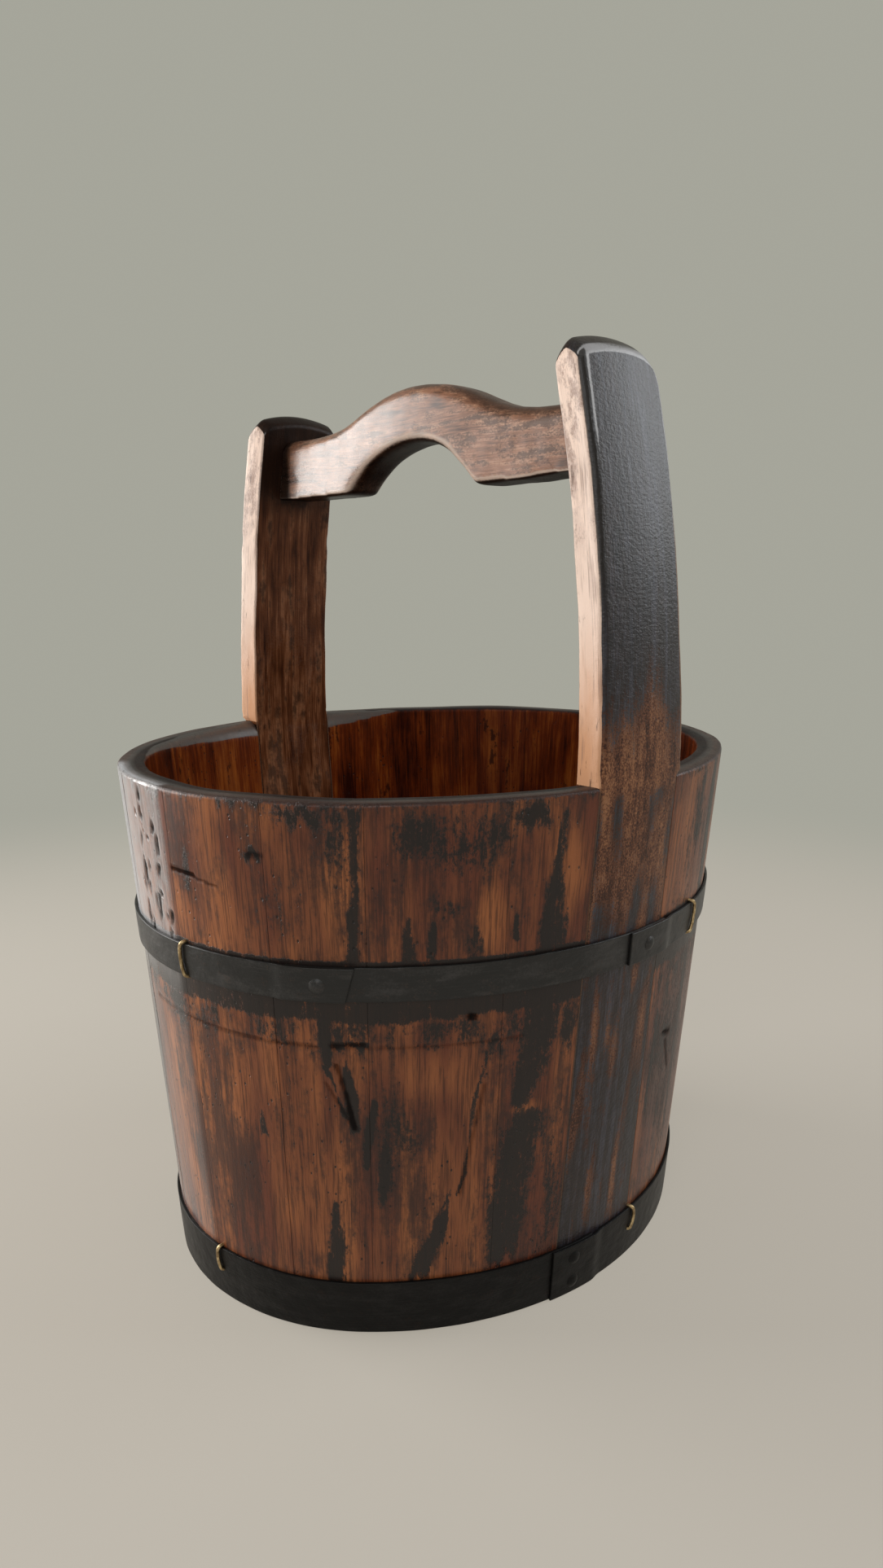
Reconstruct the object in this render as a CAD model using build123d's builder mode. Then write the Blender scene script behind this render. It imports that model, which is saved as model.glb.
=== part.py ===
"""Wooden piggin: an oval coopered tub with two tall staves that carry a carved crossbar.

Millimetres, +Z up, origin under the middle of the tub on the surface it stands on.
X runs along the oval's long axis. The tall staves stand on the -Y (near) and +Y (far) sides.
"""
import os
from math import asin, atan, atan2, cos, degrees, pi, radians, sin, sqrt

from build123d import *

os.makedirs("parts", exist_ok=True)

# Tub: an oval of four tangent arcs, drawn in evenly from the rim to the base
rim_half_length = 190.0
rim_half_width = 163.0
rim_end_radius = 146.0
tub_height = 292.0
wall_taper = 24.6
stave_thickness = 15.0
rim_rounding = 2.0

# Widths of the ordinary staves, as shares of the rim from the near to the far tall stave
stave_shares = {
    "left": (49, 70, 50, 61, 54, 48, 55, 50, 51),
    "right": (54, 60, 52, 58, 50, 57, 55, 61, 53),
}

# Tall staves: the far one is shorter and stands a little to the left
upright_widths = {"near": 60.0, "far": 59.0}
upright_top_widths = {"near": 58.0, "far": 57.0}
upright_offsets = {"near": 0.5, "far": -7.5}
upright_thickness = 18.0
upright_height = 507.0
far_upright_drop = 14.0
upright_crown_rise = 5.0
upright_bow_radius = 800.0
upright_bow_lean = 1.2
upright_corner_radius = 11.0
upright_crown_rounding = 4.0

# Carved crossbar: its crown under the tops of the tall staves, its waist under the crown, and its blocks
handle_width = 27.0
handle_crown_drop = 8.0
handle_crown_rise = 21.0
handle_sweep = 100.0
handle_block_depth = 37.5
arch_half_width = 60.0
arch_rise = 26.5
handle_top_rounding = 9.0
arch_rounding = 5.0

# Stub tenons of the crossbar, and the fit of their mortises
tenon_thickness = 13.0
tenon_height = 22.0
tenon_length = 10.5
tenon_root = 15.0
tenon_clearance = 0.15
tenon_end_gap = 0.5
shoulder_gap = 0.1

# Bottom boards and the croze groove that holds them
bottom_thickness = 12.0
bottom_height = 16.0
croze_depth = 5.0
croze_clearance = 0.15
middle_board_width = 96.0

# Bamboo pins
pin_diameter = 4.0
pin_length = 24.0
pin_clearance = 0.1
pin_end_gap = 0.4
lower_pin_height = 88.0
upper_pin_height = 252.0
board_pin_spread = 130.0

# Iron straps
strap_thickness = 1.6
strap_seat_gap = 0.1
middle_hoop_top = 211.0
middle_hoop_width = 18.0
bottom_hoop_top = 31.0
bottom_hoop_low = 0.5
lap_length = 33.0
lap_root = 10.0
butt_gap = 0.6

# Ends of the lapped straps, measured along the rim from the middle of the near tall stave
splice_left_end = 157.0
splice_right_end = 1.0
bottom_lap_end = 37.0

# Rivets
rivet_diameter = 4.0
rivet_head_diameter = 8.0
rivet_head_height = 1.4
rivet_clearance = 0.1
bottom_rivet_spacing = 15.0

# Brass wire staples
wire_diameter = 2.0
wire_bend_radius = 1.8
wire_clearance = 0.25
staple_leg_depth = 8.0
staple_edge_gap = 0.5
bottom_staple_drop = 16.0

# Where each staple sits: side, and length along the rim from the middle of the near tall stave
staple_places = {
    "middle": (("left", 256.0), ("right", 72.0), ("left", 440.0), ("right", 328.0)),
    "bottom": (("left", 257.0), ("right", 36.0), ("left", 437.0), ("right", 325.0)),
}

# Reach of the cutting outlines past the wall, and how near two places count as one
cut_reach = 60.0
sawing_allowance = 5.0
same_place = 0.01

# Derived shape of the oval: the ends turn about (end_centre, 0), the sides about (0, side_centre)
end_centre = rim_half_length - rim_end_radius
flatness = rim_half_width - rim_end_radius
side_centre = (end_centre**2 - flatness**2) / (2 * flatness)
rim_side_radius = rim_half_width + side_centre
side_angle = atan2(end_centre, side_centre)
side_arc = rim_side_radius * side_angle
end_arc = rim_end_radius * (pi - 2 * side_angle)
wall_lean = atan2(wall_taper, tub_height)

# Derived height of the rivet heads' seats above the staves, on top of two straps
rivet_seat = strap_seat_gap + 2 * strap_thickness

# Derived lie of the tall staves' bowed outer face, in its own side view
bow_centre_y = rim_half_width - upright_bow_radius * cos(radians(upright_bow_lean))
bow_centre_z = tub_height + upright_bow_radius * sin(radians(upright_bow_lean))
upright_tops = {"near": upright_height, "far": upright_height - far_upright_drop}
handle_crown_height = upright_height - handle_crown_drop
handle_waist_height = handle_crown_height - handle_crown_rise
handle_block_height = handle_waist_height - handle_block_depth
arch_height = handle_block_height + arch_rise
tenon_middle = (handle_block_height + handle_waist_height) / 2


def wall_inset(height):
    """How far the outer wall has drawn in from the rim's outline at a height."""
    return wall_taper * (1 - height / tub_height)


def oval(inset):
    """Face inside the rim's outline, set in evenly."""
    turn = degrees(side_angle)
    end_radius = rim_end_radius - inset
    side_radius = rim_side_radius - inset
    with BuildLine() as outline:
        CenterArc((end_centre, 0), end_radius, turn - 90, 180 - 2 * turn)
        CenterArc((0, -side_centre), side_radius, 90 - turn, 2 * turn)
        CenterArc((-end_centre, 0), end_radius, turn + 90, 180 - 2 * turn)
        CenterArc((0, side_centre), side_radius, 270 - turn, 2 * turn)
    make_face(outline.edges())


def drawn_in_oval(low, high, inset):
    """Solid oval between two heights that follows the wall's taper, set in from its outer face."""
    with BuildPart() as body:
        for height in (low, high):
            with BuildSketch(Plane.XY.offset(height)):
                oval(wall_inset(height) + inset)
        loft(ruled=True)
    return body.part


def band(low, high, layer):
    """Iron band round the wall. Layer 0 lies on the staves, layer 1 on top of layer 0."""
    reach = strap_seat_gap + layer * strap_thickness
    outside = drawn_in_oval(low, high, -reach - strap_thickness)
    inside = drawn_in_oval(low, high, -reach)
    with BuildPart() as ring:
        add(outside)
        add(inside, mode=Mode.SUBTRACT)
    return ring.part


def station(arc, side):
    """Upright plane across the wall, x outwards, y up, at a length along the rim from the near side."""
    angle = arc / rim_side_radius
    centre = Vector(0, side_centre)
    radius = rim_side_radius
    if arc > side_arc:
        angle = side_angle + (arc - side_arc) / rim_end_radius
        centre = Vector(end_centre, 0)
        radius = rim_end_radius
    if arc > side_arc + end_arc:
        angle = pi - side_angle + (arc - side_arc - end_arc) / rim_side_radius
        centre = Vector(0, -side_centre)
        radius = rim_side_radius
    outward = Vector(sin(angle), -cos(angle))
    spot = centre + outward * radius
    if side == "left":
        outward = Vector(-outward.X, outward.Y)
        spot = Vector(-spot.X, spot.Y)
    return Plane(origin=spot, x_dir=outward, z_dir=outward.cross(Vector(0, 0, 1)))


def upright_edge(side, end):
    """Place along X of a tall stave's edge."""
    half = upright_widths[end] / 2
    return upright_offsets[end] + (half if side == "right" else -half)


def upright_seam(side, end):
    """Upright plane across the wall at the edge of a tall stave, x outwards, y up."""
    edge = upright_edge(side, end)
    depth = sqrt(rim_side_radius**2 - edge**2) - side_centre
    outward = Vector(0, -1 if end == "near" else 1)
    return Plane(origin=(edge, outward.Y * depth), x_dir=outward, z_dir=outward.cross(Vector(0, 0, 1)))


def stave_edges(side):
    """Lengths along the rim, from the near side's middle, at which the staves of one side meet."""
    shares = stave_shares[side]
    near = rim_side_radius * asin(abs(upright_edge(side, "near")) / rim_side_radius)
    far = rim_side_radius * asin(abs(upright_edge(side, "far")) / rim_side_radius)
    run = 2 * side_arc + end_arc - far - near
    return [near + run * sum(shares[:count]) / sum(shares) for count in range(len(shares) + 1)]


def seams(side):
    """Planes of all the seams of one side, from the near tall stave to the far one."""
    inner = [station(arc, side) for arc in stave_edges(side)[1:-1]]
    return [upright_seam(side, "near")] + inner + [upright_seam(side, "far")]


def sector(first, last):
    """Face between two planes that cross the wall, reaching past it inside and outside."""
    corners = [plane.from_local_coords((reach, 0, 0)) for plane, reach in (
        (first, -cut_reach), (first, cut_reach), (last, cut_reach), (last, -cut_reach))]
    with BuildLine() as outline:
        Polyline(*[(corner.X, corner.Y) for corner in corners], close=True)
    make_face(outline.edges())


def wall_point(plane, height, depth):
    """Point in a crossing plane, at a height and a depth under the wall's outer face."""
    return plane.from_local_coords((-wall_inset(height) - depth, height, 0))


def wall_normal(plane):
    """Direction square to the wall's outer face in a crossing plane."""
    return plane.x_dir * cos(wall_lean) - Vector(0, 0, 1) * sin(wall_lean)


def pin_planes(seam):
    """Planes in which the two bamboo pins of a seam have their middles."""
    spots = [wall_point(seam, height, stave_thickness / 2) for height in (lower_pin_height, upper_pin_height)]
    return [Plane(origin=spot, z_dir=seam.z_dir) for spot in spots]


def drill_pins(planes):
    """Bores for bamboo pins, half in each of the two pieces that meet."""
    with Locations(*planes):
        bore_length = pin_length + 2 * pin_end_gap
        Cylinder(pin_diameter / 2 + pin_clearance, bore_length, mode=Mode.SUBTRACT)


def staple_legs(hoop):
    """Heights of the two legs of a staple over the bottom or the middle hoop."""
    lift = staple_edge_gap + wire_diameter / 2
    if hoop == "bottom":
        return bottom_hoop_top + lift - bottom_staple_drop, bottom_hoop_top + lift
    return middle_hoop_top - middle_hoop_width - lift, middle_hoop_top + lift


def staples_between(side, start, finish):
    """Hoop and place of each staple whose legs enter the wall between two places along the rim."""
    margin = 2 * wire_diameter
    return [(hoop, arc) for hoop, places in staple_places.items() for staple_side, arc in places
            if staple_side == side and start - margin < arc < finish + margin]


def drill_legs(plane, heights):
    """Holes for a staple's legs in a crossing plane, from outside the hoop into the stave."""
    for height in heights:
        spot = wall_point(plane, height, 0) + wall_normal(plane) * rivet_seat
        with Locations(Plane(origin=spot, z_dir=-wall_normal(plane))):
            Cylinder(wire_diameter / 2 + wire_clearance, rivet_seat + staple_leg_depth + pin_end_gap,
                     align=(Align.CENTER, Align.CENTER, Align.MIN), mode=Mode.SUBTRACT)


def rivet_plane(arc, side, height):
    """Plane on the wall's outer face at a rivet, z outwards."""
    crossing = station(arc, side)
    return Plane(origin=wall_point(crossing, height, 0), z_dir=wall_normal(crossing))


def drill_rivets(planes):
    """Holes for rivets through the straps."""
    with Locations(*planes):
        Cylinder(rivet_diameter / 2 + rivet_clearance, 2 * rivet_seat + strap_thickness, mode=Mode.SUBTRACT)


def rivets(planes):
    """Rivets with plain shanks through two straps and domed heads on top."""
    head_reach = rivet_head_diameter / 2
    shank_reach = rivet_diameter / 2
    crown = rivet_seat + rivet_head_height
    dome_radius = (head_reach**2 + rivet_head_height**2) / (2 * rivet_head_height)
    for plane in planes:
        section = Plane(origin=plane.origin, x_dir=plane.x_dir, z_dir=-plane.y_dir)
        with BuildSketch(section) as profile:
            with BuildLine():
                Polyline((0, crown), (0, strap_seat_gap), (shank_reach, strap_seat_gap),
                         (shank_reach, rivet_seat), (head_reach, rivet_seat))
                RadiusArc((head_reach, rivet_seat), (0, crown), -dome_radius)
            make_face()
        revolve(profile.sketch, axis=Axis(plane.origin, plane.z_dir))


def staple(plane, heights):
    """Bent brass wire in a crossing plane: two legs in the wood and a back that crosses the hoop's face."""
    low, high = [wall_point(plane, height, 0) for height in heights]
    normal = wall_normal(plane)
    back = strap_seat_gap + strap_thickness + wire_clearance + wire_diameter / 2
    corners = [low - normal * staple_leg_depth, low + normal * back,
               high + normal * back, high - normal * staple_leg_depth]
    with BuildLine() as wire:
        FilletPolyline(*corners, radius=wire_bend_radius)
    with BuildSketch(Plane(origin=wire.line @ 0, z_dir=wire.line % 0)) as section:
        Circle(wire_diameter / 2)
    sweep(section.sketch, path=wire.line)


def bowed_outline(reach, mode=Mode.ADD):
    """Face between the middle plane and a tall stave's bowed outer face set outwards by reach."""
    radius = upright_bow_radius + reach
    top = upright_height + sawing_allowance
    top_angle = degrees(asin((top - bow_centre_z) / radius))
    base = (rim_half_width - wall_taper + reach / cos(wall_lean), 0)
    with BuildLine() as outline:
        bow = CenterArc((bow_centre_y, bow_centre_z), radius, -upright_bow_lean, top_angle + upright_bow_lean)
        Polyline(bow @ 0, base, (0, 0), (0, top), bow @ 1)
    make_face(outline.edges(), mode=mode)


def bow_depth(height, reach):
    """Distance of the bowed face, set outwards by reach, from the middle plane at a height above the rim."""
    radius = upright_bow_radius + reach
    return bow_centre_y + sqrt(radius**2 - (height - bow_centre_z)**2)


tenon_tip = bow_depth(tenon_middle, -upright_thickness) + tenon_length
near_offset, far_offset = upright_offsets["near"], upright_offsets["far"]
handle_skew = degrees(atan2(near_offset - far_offset, 2 * bow_depth(tenon_middle, -upright_thickness)))
handle_plane = Plane.XY.move(Location(((near_offset + far_offset) / 2, 0, 0), (0, 0, handle_skew)))


def stub_tenons(end_gap, grow, mode):
    """Stub tenons at both ends of the crossbar, or their mortises where grown by the clearances."""
    tip = tenon_tip + end_gap
    length = tenon_length + tenon_root + end_gap
    ends = [handle_plane * Pos(0, side * (tip - length / 2), tenon_middle) for side in (-1, 1)]
    with Locations(*ends):
        Box(tenon_thickness + 2 * grow, length, tenon_height + 2 * grow, mode=mode)


def runs_across(edge):
    """Whether an edge runs across a tall stave, and not through its thickness."""
    chord = edge @ 1 - edge @ 0
    return abs(chord.Y) < chord.length / 2


def write(builder, label):
    """Names a finished piece and writes its file."""
    builder.part.label = label
    export_step(builder.part, f"parts/{label}.step")


# Wall of the tub before it is parted into staves
tub_outside = drawn_in_oval(0, tub_height, 0)
tub_inside = drawn_in_oval(0, tub_height, stave_thickness)
with BuildPart() as wall:
    add(tub_outside)
    add(tub_inside, mode=Mode.SUBTRACT)
    fillet(wall.faces().sort_by(Axis.Z)[-1].edges(), rim_rounding)

# Groove for the bottom boards, as the space that it takes out of the wall
board_inset = wall_inset(bottom_height + bottom_thickness / 2) + stave_thickness - croze_depth
with BuildPart() as croze:
    with BuildSketch(Plane.XY.offset(bottom_height - croze_clearance)):
        oval(board_inset - croze_clearance)
    extrude(amount=bottom_thickness + 2 * croze_clearance)

# Ordinary staves
for side in ("left", "right"):
    planes = seams(side)
    edges = stave_edges(side)
    for number, (first, last) in enumerate(zip(planes, planes[1:]), start=1):
        with BuildPart() as stave:
            add(wall.part)
            with BuildSketch():
                sector(first, last)
            extrude(amount=tub_height, mode=Mode.INTERSECT)
            add(croze.part, mode=Mode.SUBTRACT)
            drill_pins(pin_planes(first) + pin_planes(last))
            for hoop, arc in staples_between(side, *edges[number - 1:number + 1]):
                drill_legs(station(arc, side), staple_legs(hoop))
        write(stave, f"stave_{side}_{number}")

# Tall staves: the front outline, the thickness seen from the side, and an outer face that follows the tub
for end, facing in (("near", -1), ("far", 1)):
    offset = upright_offsets[end]
    with BuildPart() as upright:
        with BuildSketch(Plane.XZ) as front_view:
            shoulder = upright_tops[end] - upright_crown_rise
            left = upright_edge("left", end)
            right = upright_edge("right", end)
            top_left = offset - upright_top_widths[end] / 2
            top_right = offset + upright_top_widths[end] / 2
            with BuildLine():
                Polyline((top_left, shoulder), (left, tub_height), (left, 0), (right, 0), (right, tub_height),
                         (top_right, shoulder))
                ThreePointArc((top_right, shoulder), (offset, upright_tops[end]), (top_left, shoulder))
            make_face()
            fillet(front_view.vertices().group_by(Axis.Y)[-1], upright_corner_radius)
        extrude(amount=-rim_half_width - cut_reach)
        with BuildSketch(Plane.YZ):
            bowed_outline(sawing_allowance)
            bowed_outline(-upright_thickness, mode=Mode.SUBTRACT)
        extrude(amount=2 * upright_widths[end], both=True, mode=Mode.INTERSECT)
        with BuildSketch(Plane.YZ):
            bowed_outline(0)
        revolve(axis=Axis((0, -side_centre, 0), (0, 0, 1)), mode=Mode.INTERSECT)
        top_edges = upright.edges().filter_by(lambda edge: edge.center().Z > shoulder - upright_corner_radius)
        fillet(top_edges.filter_by(runs_across), upright_crown_rounding)
        if facing < 0:
            mirror(about=Plane.XZ, mode=Mode.REPLACE)
        add(croze.part, mode=Mode.SUBTRACT)
        stub_tenons(tenon_end_gap, tenon_clearance, Mode.SUBTRACT)
        drill_pins(pin_planes(upright_seam("left", end)) + pin_planes(upright_seam("right", end)))
        for side in ("left", "right"):
            edges = stave_edges(side)
            span = (0, edges[0]) if end == "near" else (edges[-1], 2 * side_arc + end_arc)
            for hoop, arc in staples_between(side, *span):
                drill_legs(station(arc, side), staple_legs(hoop))
    write(upright, f"{end}_upright_stave")

# Carved crossbar, with shoulders that follow the tall staves' bowed inner faces
sweep_rise = handle_crown_height - handle_waist_height
sweep_turn = 2 * atan(sweep_rise / handle_sweep)
sweep_radius = handle_sweep / sin(sweep_turn) / 2
handle_side = Plane(origin=handle_plane.origin, x_dir=handle_plane.y_dir, z_dir=handle_plane.x_dir)
with BuildPart() as handle:
    with BuildSketch(handle_side):
        with BuildLine():
            crest = JernArc((0, handle_crown_height), (1, 0), sweep_radius, -degrees(sweep_turn))
            hollow = JernArc(crest @ 1, crest % 1, sweep_radius, degrees(sweep_turn))
            Polyline(hollow @ 1, (rim_half_width, handle_waist_height), (rim_half_width, handle_block_height),
                     (arch_half_width, handle_block_height))
            mirror(about=Plane.YZ)
            ThreePointArc((arch_half_width, handle_block_height), (0, arch_height),
                          (-arch_half_width, handle_block_height))
        make_face()
    extrude(amount=handle_width / 2, both=True)
    across = Axis(handle_side.origin, handle_side.z_dir)
    flanks = handle.faces().filter_by(across).edges()
    fillet(flanks.filter_by(lambda edge: abs(edge.center().Z - arch_height) < same_place), arch_rounding)
    flanks = handle.faces().filter_by(across).edges()
    top_level = handle_waist_height - same_place
    fillet(flanks.filter_by(lambda edge: edge.center().Z > top_level), handle_top_rounding)
    with BuildSketch(Plane.YZ):
        bowed_outline(-upright_thickness - shoulder_gap)
        mirror(about=Plane.YZ)
    extrude(amount=2 * handle_width, both=True, mode=Mode.INTERSECT)
    stub_tenons(0, 0, Mode.ADD)
write(handle, "carry_handle")

# Bottom boards, pinned edge to edge
half_board = middle_board_width / 2
board_pins = [Plane(origin=(x, y, bottom_height + bottom_thickness / 2), z_dir=(0, 1, 0))
              for y in (-half_board, half_board) for x in (-board_pin_spread / 2, board_pin_spread / 2)]
board_limits = {"near": (-rim_half_width, -half_board), "middle": (-half_board, half_board),
                "far": (half_board, rim_half_width)}
for name, (start, finish) in board_limits.items():
    with BuildPart() as board:
        with BuildSketch(Plane.XY.offset(bottom_height)):
            oval(board_inset)
        extrude(amount=bottom_thickness)
        with Locations((0, (start + finish) / 2, bottom_height + bottom_thickness / 2)):
            Box(2 * rim_half_length, finish - start, 2 * bottom_thickness, mode=Mode.INTERSECT)
        drill_pins(board_pins)
    write(board, f"bottom_board_{name}")

# Bamboo pins
with BuildPart() as bottom_pins:
    with Locations(*board_pins):
        Cylinder(pin_diameter / 2, pin_length)
write(bottom_pins, "bottom_board_pins")

all_seams = seams("left") + seams("right")
with BuildPart() as stave_pins:
    with Locations(*[plane for seam in all_seams for plane in pin_planes(seam)]):
        Cylinder(pin_diameter / 2, pin_length)
write(stave_pins, "stave_edge_pins")

# Middle hoop: a long strap whose ends lap over a short splice strap
middle_hoop_low = middle_hoop_top - middle_hoop_width
middle_hoop_middle = middle_hoop_top - middle_hoop_width / 2
splice_ends = (("left", splice_left_end), ("right", splice_right_end))
middle_rivets = [rivet_plane(end + lap_length / 2, side, middle_hoop_middle) for side, end in splice_ends]
under_layer = band(middle_hoop_low, middle_hoop_top, 0)
over_layer = band(middle_hoop_low, middle_hoop_top, 1)

with BuildPart() as splice_strap:
    add(under_layer)
    with BuildSketch():
        sector(*[station(end + lap_length, side) for side, end in splice_ends])
    extrude(amount=tub_height, mode=Mode.INTERSECT)
    drill_rivets(middle_rivets)
write(splice_strap, "middle_hoop_splice_strap")

laps = []
for side, end in splice_ends:
    with BuildPart() as lap:
        add(over_layer)
        with BuildSketch():
            sector(station(end, side), station(end + lap_length + lap_root, side))
        extrude(amount=tub_height, mode=Mode.INTERSECT)
    laps.append(lap.part)

with BuildPart() as long_strap:
    add(under_layer)
    with BuildSketch():
        sector(*[station(end + lap_length + butt_gap, side) for side, end in splice_ends])
    extrude(amount=tub_height, mode=Mode.SUBTRACT)
    add(laps)
    drill_rivets(middle_rivets)
write(long_strap, "middle_hoop_long_strap")

with BuildPart() as middle_hoop_rivets:
    rivets(middle_rivets)
write(middle_hoop_rivets, "middle_hoop_rivets")

# Bottom hoop: one wide strap, lapped on itself
bottom_rivets = [rivet_plane(bottom_lap_end - lap_length / 2, "left", bottom_hoop_top / 2 + lift)
                 for lift in (-bottom_rivet_spacing / 2, bottom_rivet_spacing / 2)]
bottom_under = band(bottom_hoop_low, bottom_hoop_top, 0)
bottom_over = band(bottom_hoop_low, bottom_hoop_top, 1)
with BuildPart() as bottom_lap:
    add(bottom_over)
    with BuildSketch():
        sector(station(bottom_lap_end, "left"), station(bottom_lap_end - lap_length - lap_root, "left"))
    extrude(amount=tub_height, mode=Mode.INTERSECT)

with BuildPart() as bottom_strap:
    add(bottom_under)
    with BuildSketch():
        butt = bottom_lap_end - lap_length
        sector(station(butt, "left"), station(butt - butt_gap, "left"))
    extrude(amount=tub_height, mode=Mode.SUBTRACT)
    add(bottom_lap.part)
    drill_rivets(bottom_rivets)
    for side, arc in staple_places["bottom"]:
        drill_legs(station(arc, side), staple_legs("bottom"))
write(bottom_strap, "bottom_hoop_strap")

with BuildPart() as bottom_hoop_rivets:
    rivets(bottom_rivets)
write(bottom_hoop_rivets, "bottom_hoop_rivets")

# Brass staples over the hoops
for hoop, places in staple_places.items():
    with BuildPart() as hoop_staples:
        for side, arc in places:
            staple(station(arc, side), staple_legs(hoop))
    write(hoop_staples, f"{hoop}_hoop_staples")
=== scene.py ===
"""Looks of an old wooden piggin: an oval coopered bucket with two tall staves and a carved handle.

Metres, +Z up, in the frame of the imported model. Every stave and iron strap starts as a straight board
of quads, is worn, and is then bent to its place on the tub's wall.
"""

import logging
import math
from dataclasses import dataclass
from enum import Enum
from typing import Callable, Iterable, Optional, Sequence, Union

import bmesh
import bpy
import numpy as np
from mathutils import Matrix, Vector, noise


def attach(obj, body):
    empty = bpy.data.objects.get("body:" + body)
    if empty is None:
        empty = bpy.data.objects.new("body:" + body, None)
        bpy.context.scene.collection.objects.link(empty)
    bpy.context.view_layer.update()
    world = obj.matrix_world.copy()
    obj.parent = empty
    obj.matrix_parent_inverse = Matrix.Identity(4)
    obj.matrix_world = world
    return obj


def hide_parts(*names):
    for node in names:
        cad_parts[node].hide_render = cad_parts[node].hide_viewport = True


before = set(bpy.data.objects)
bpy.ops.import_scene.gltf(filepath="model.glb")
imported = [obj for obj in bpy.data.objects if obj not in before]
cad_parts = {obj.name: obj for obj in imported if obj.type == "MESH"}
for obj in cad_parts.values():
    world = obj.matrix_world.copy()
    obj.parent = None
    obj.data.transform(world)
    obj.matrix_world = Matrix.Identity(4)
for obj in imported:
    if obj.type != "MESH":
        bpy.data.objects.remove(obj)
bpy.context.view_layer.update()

MM = 0.001
BODY = "root"
LOG = logging.getLogger("piggin")

Colour = tuple[float, float, float]
Socket = bpy.types.NodeSocket
Feed = Union[float, Sequence[float], Socket]
Feeds = dict[Union[int, str], Feed]


class Side(Enum):
    """Side of the tub, as the sign of a length along the rim from the middle of the near tall stave."""

    LEFT = -1
    RIGHT = 1


class End(Enum):
    """The two tall staves, by the sign of their place along Y."""

    NEAR = -1
    FAR = 1


class Hoop(Enum):
    """The two iron hoops."""

    MIDDLE = "middle"
    BOTTOM = "bottom"


# Sizes of the tub and its pieces


@dataclass(frozen=True)
class TubWall:
    """Oval wall of four tangent arcs, drawn in evenly from the rim to the base."""

    half_length: float = 190 * MM
    half_width: float = 163 * MM
    end_radius: float = 146 * MM
    height: float = 292 * MM
    taper: float = 24.6 * MM
    thickness: float = 15 * MM

    @property
    def end_centre(self) -> float:
        """Place along X about which the tub's ends turn."""
        return self.half_length - self.end_radius

    @property
    def side_centre(self) -> float:
        """Distance along Y of the centre about which each long side turns."""
        flatness = self.half_width - self.end_radius
        return (self.end_centre**2 - flatness**2) / (2 * flatness)

    @property
    def side_radius(self) -> float:
        """Radius of the long sides at the rim."""
        return self.half_width + self.side_centre

    @property
    def lean(self) -> float:
        """Angle by which the wall leans outwards."""
        return math.atan2(self.taper, self.height)

    @property
    def side_angle(self) -> float:
        """Half of the angle that a long side turns through."""
        return math.atan2(self.end_centre, self.side_centre)

    @property
    def side_arc(self) -> float:
        """Length along the rim of half of a long side."""
        return self.side_radius * self.side_angle

    @property
    def end_arc(self) -> float:
        """Length along the rim of one end."""
        return self.end_radius * (math.pi - 2 * self.side_angle)

    @property
    def half_round(self) -> float:
        """Length along the rim from the near tall stave's middle to the far side's middle."""
        return 2 * self.side_arc + self.end_arc

    def inset(self, height: np.ndarray) -> np.ndarray:
        """How far the outer face has drawn in from the rim's outline at each height."""
        return self.taper * (1 - height / self.height)

    def stations(self, arc: np.ndarray) -> tuple[np.ndarray, np.ndarray]:
        """Places round the rim.

        Args:
            arc: Lengths along the rim from the near middle, growing to the right.

        Returns:
            Points on the rim's outline and the directions outwards there, both as (n, 2) arrays.
        """
        wrapped = (arc + self.half_round) % (2 * self.half_round) - self.half_round
        run = np.abs(wrapped)
        mirror = np.where(wrapped < 0, -1.0, 1.0)
        near = run <= self.side_arc
        far = run > self.side_arc + self.end_arc
        far_turn = math.pi - self.side_angle + (run - self.side_arc - self.end_arc) / self.side_radius
        end_turn = self.side_angle + (run - self.side_arc) / self.end_radius
        turn = np.where(near, run / self.side_radius, np.where(far, far_turn, end_turn))
        on_side = near | far
        radius = np.where(on_side, self.side_radius, self.end_radius)
        centre_x = np.where(on_side, 0.0, self.end_centre)
        centre_y = np.where(near, self.side_centre, np.where(far, -self.side_centre, 0.0))
        out_x, out_y = np.sin(turn), -np.cos(turn)
        spots = np.stack(((centre_x + out_x * radius) * mirror, centre_y + out_y * radius), axis=1)
        return spots, np.stack((out_x * mirror, out_y), axis=1)

    def bend(self, arc: np.ndarray, depth: np.ndarray, height: np.ndarray) -> np.ndarray:
        """Points in the wall.

        Args:
            arc: Lengths along the rim.
            depth: Depths under the outer face, negative outside it.
            height: Heights above the base.

        Returns:
            The points as an (n, 3) array.
        """
        spots, outward = self.stations(arc)
        flat = spots - outward * (self.inset(height) + depth)[:, None]
        return np.column_stack((flat, height))


WALL = TubWall()


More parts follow.
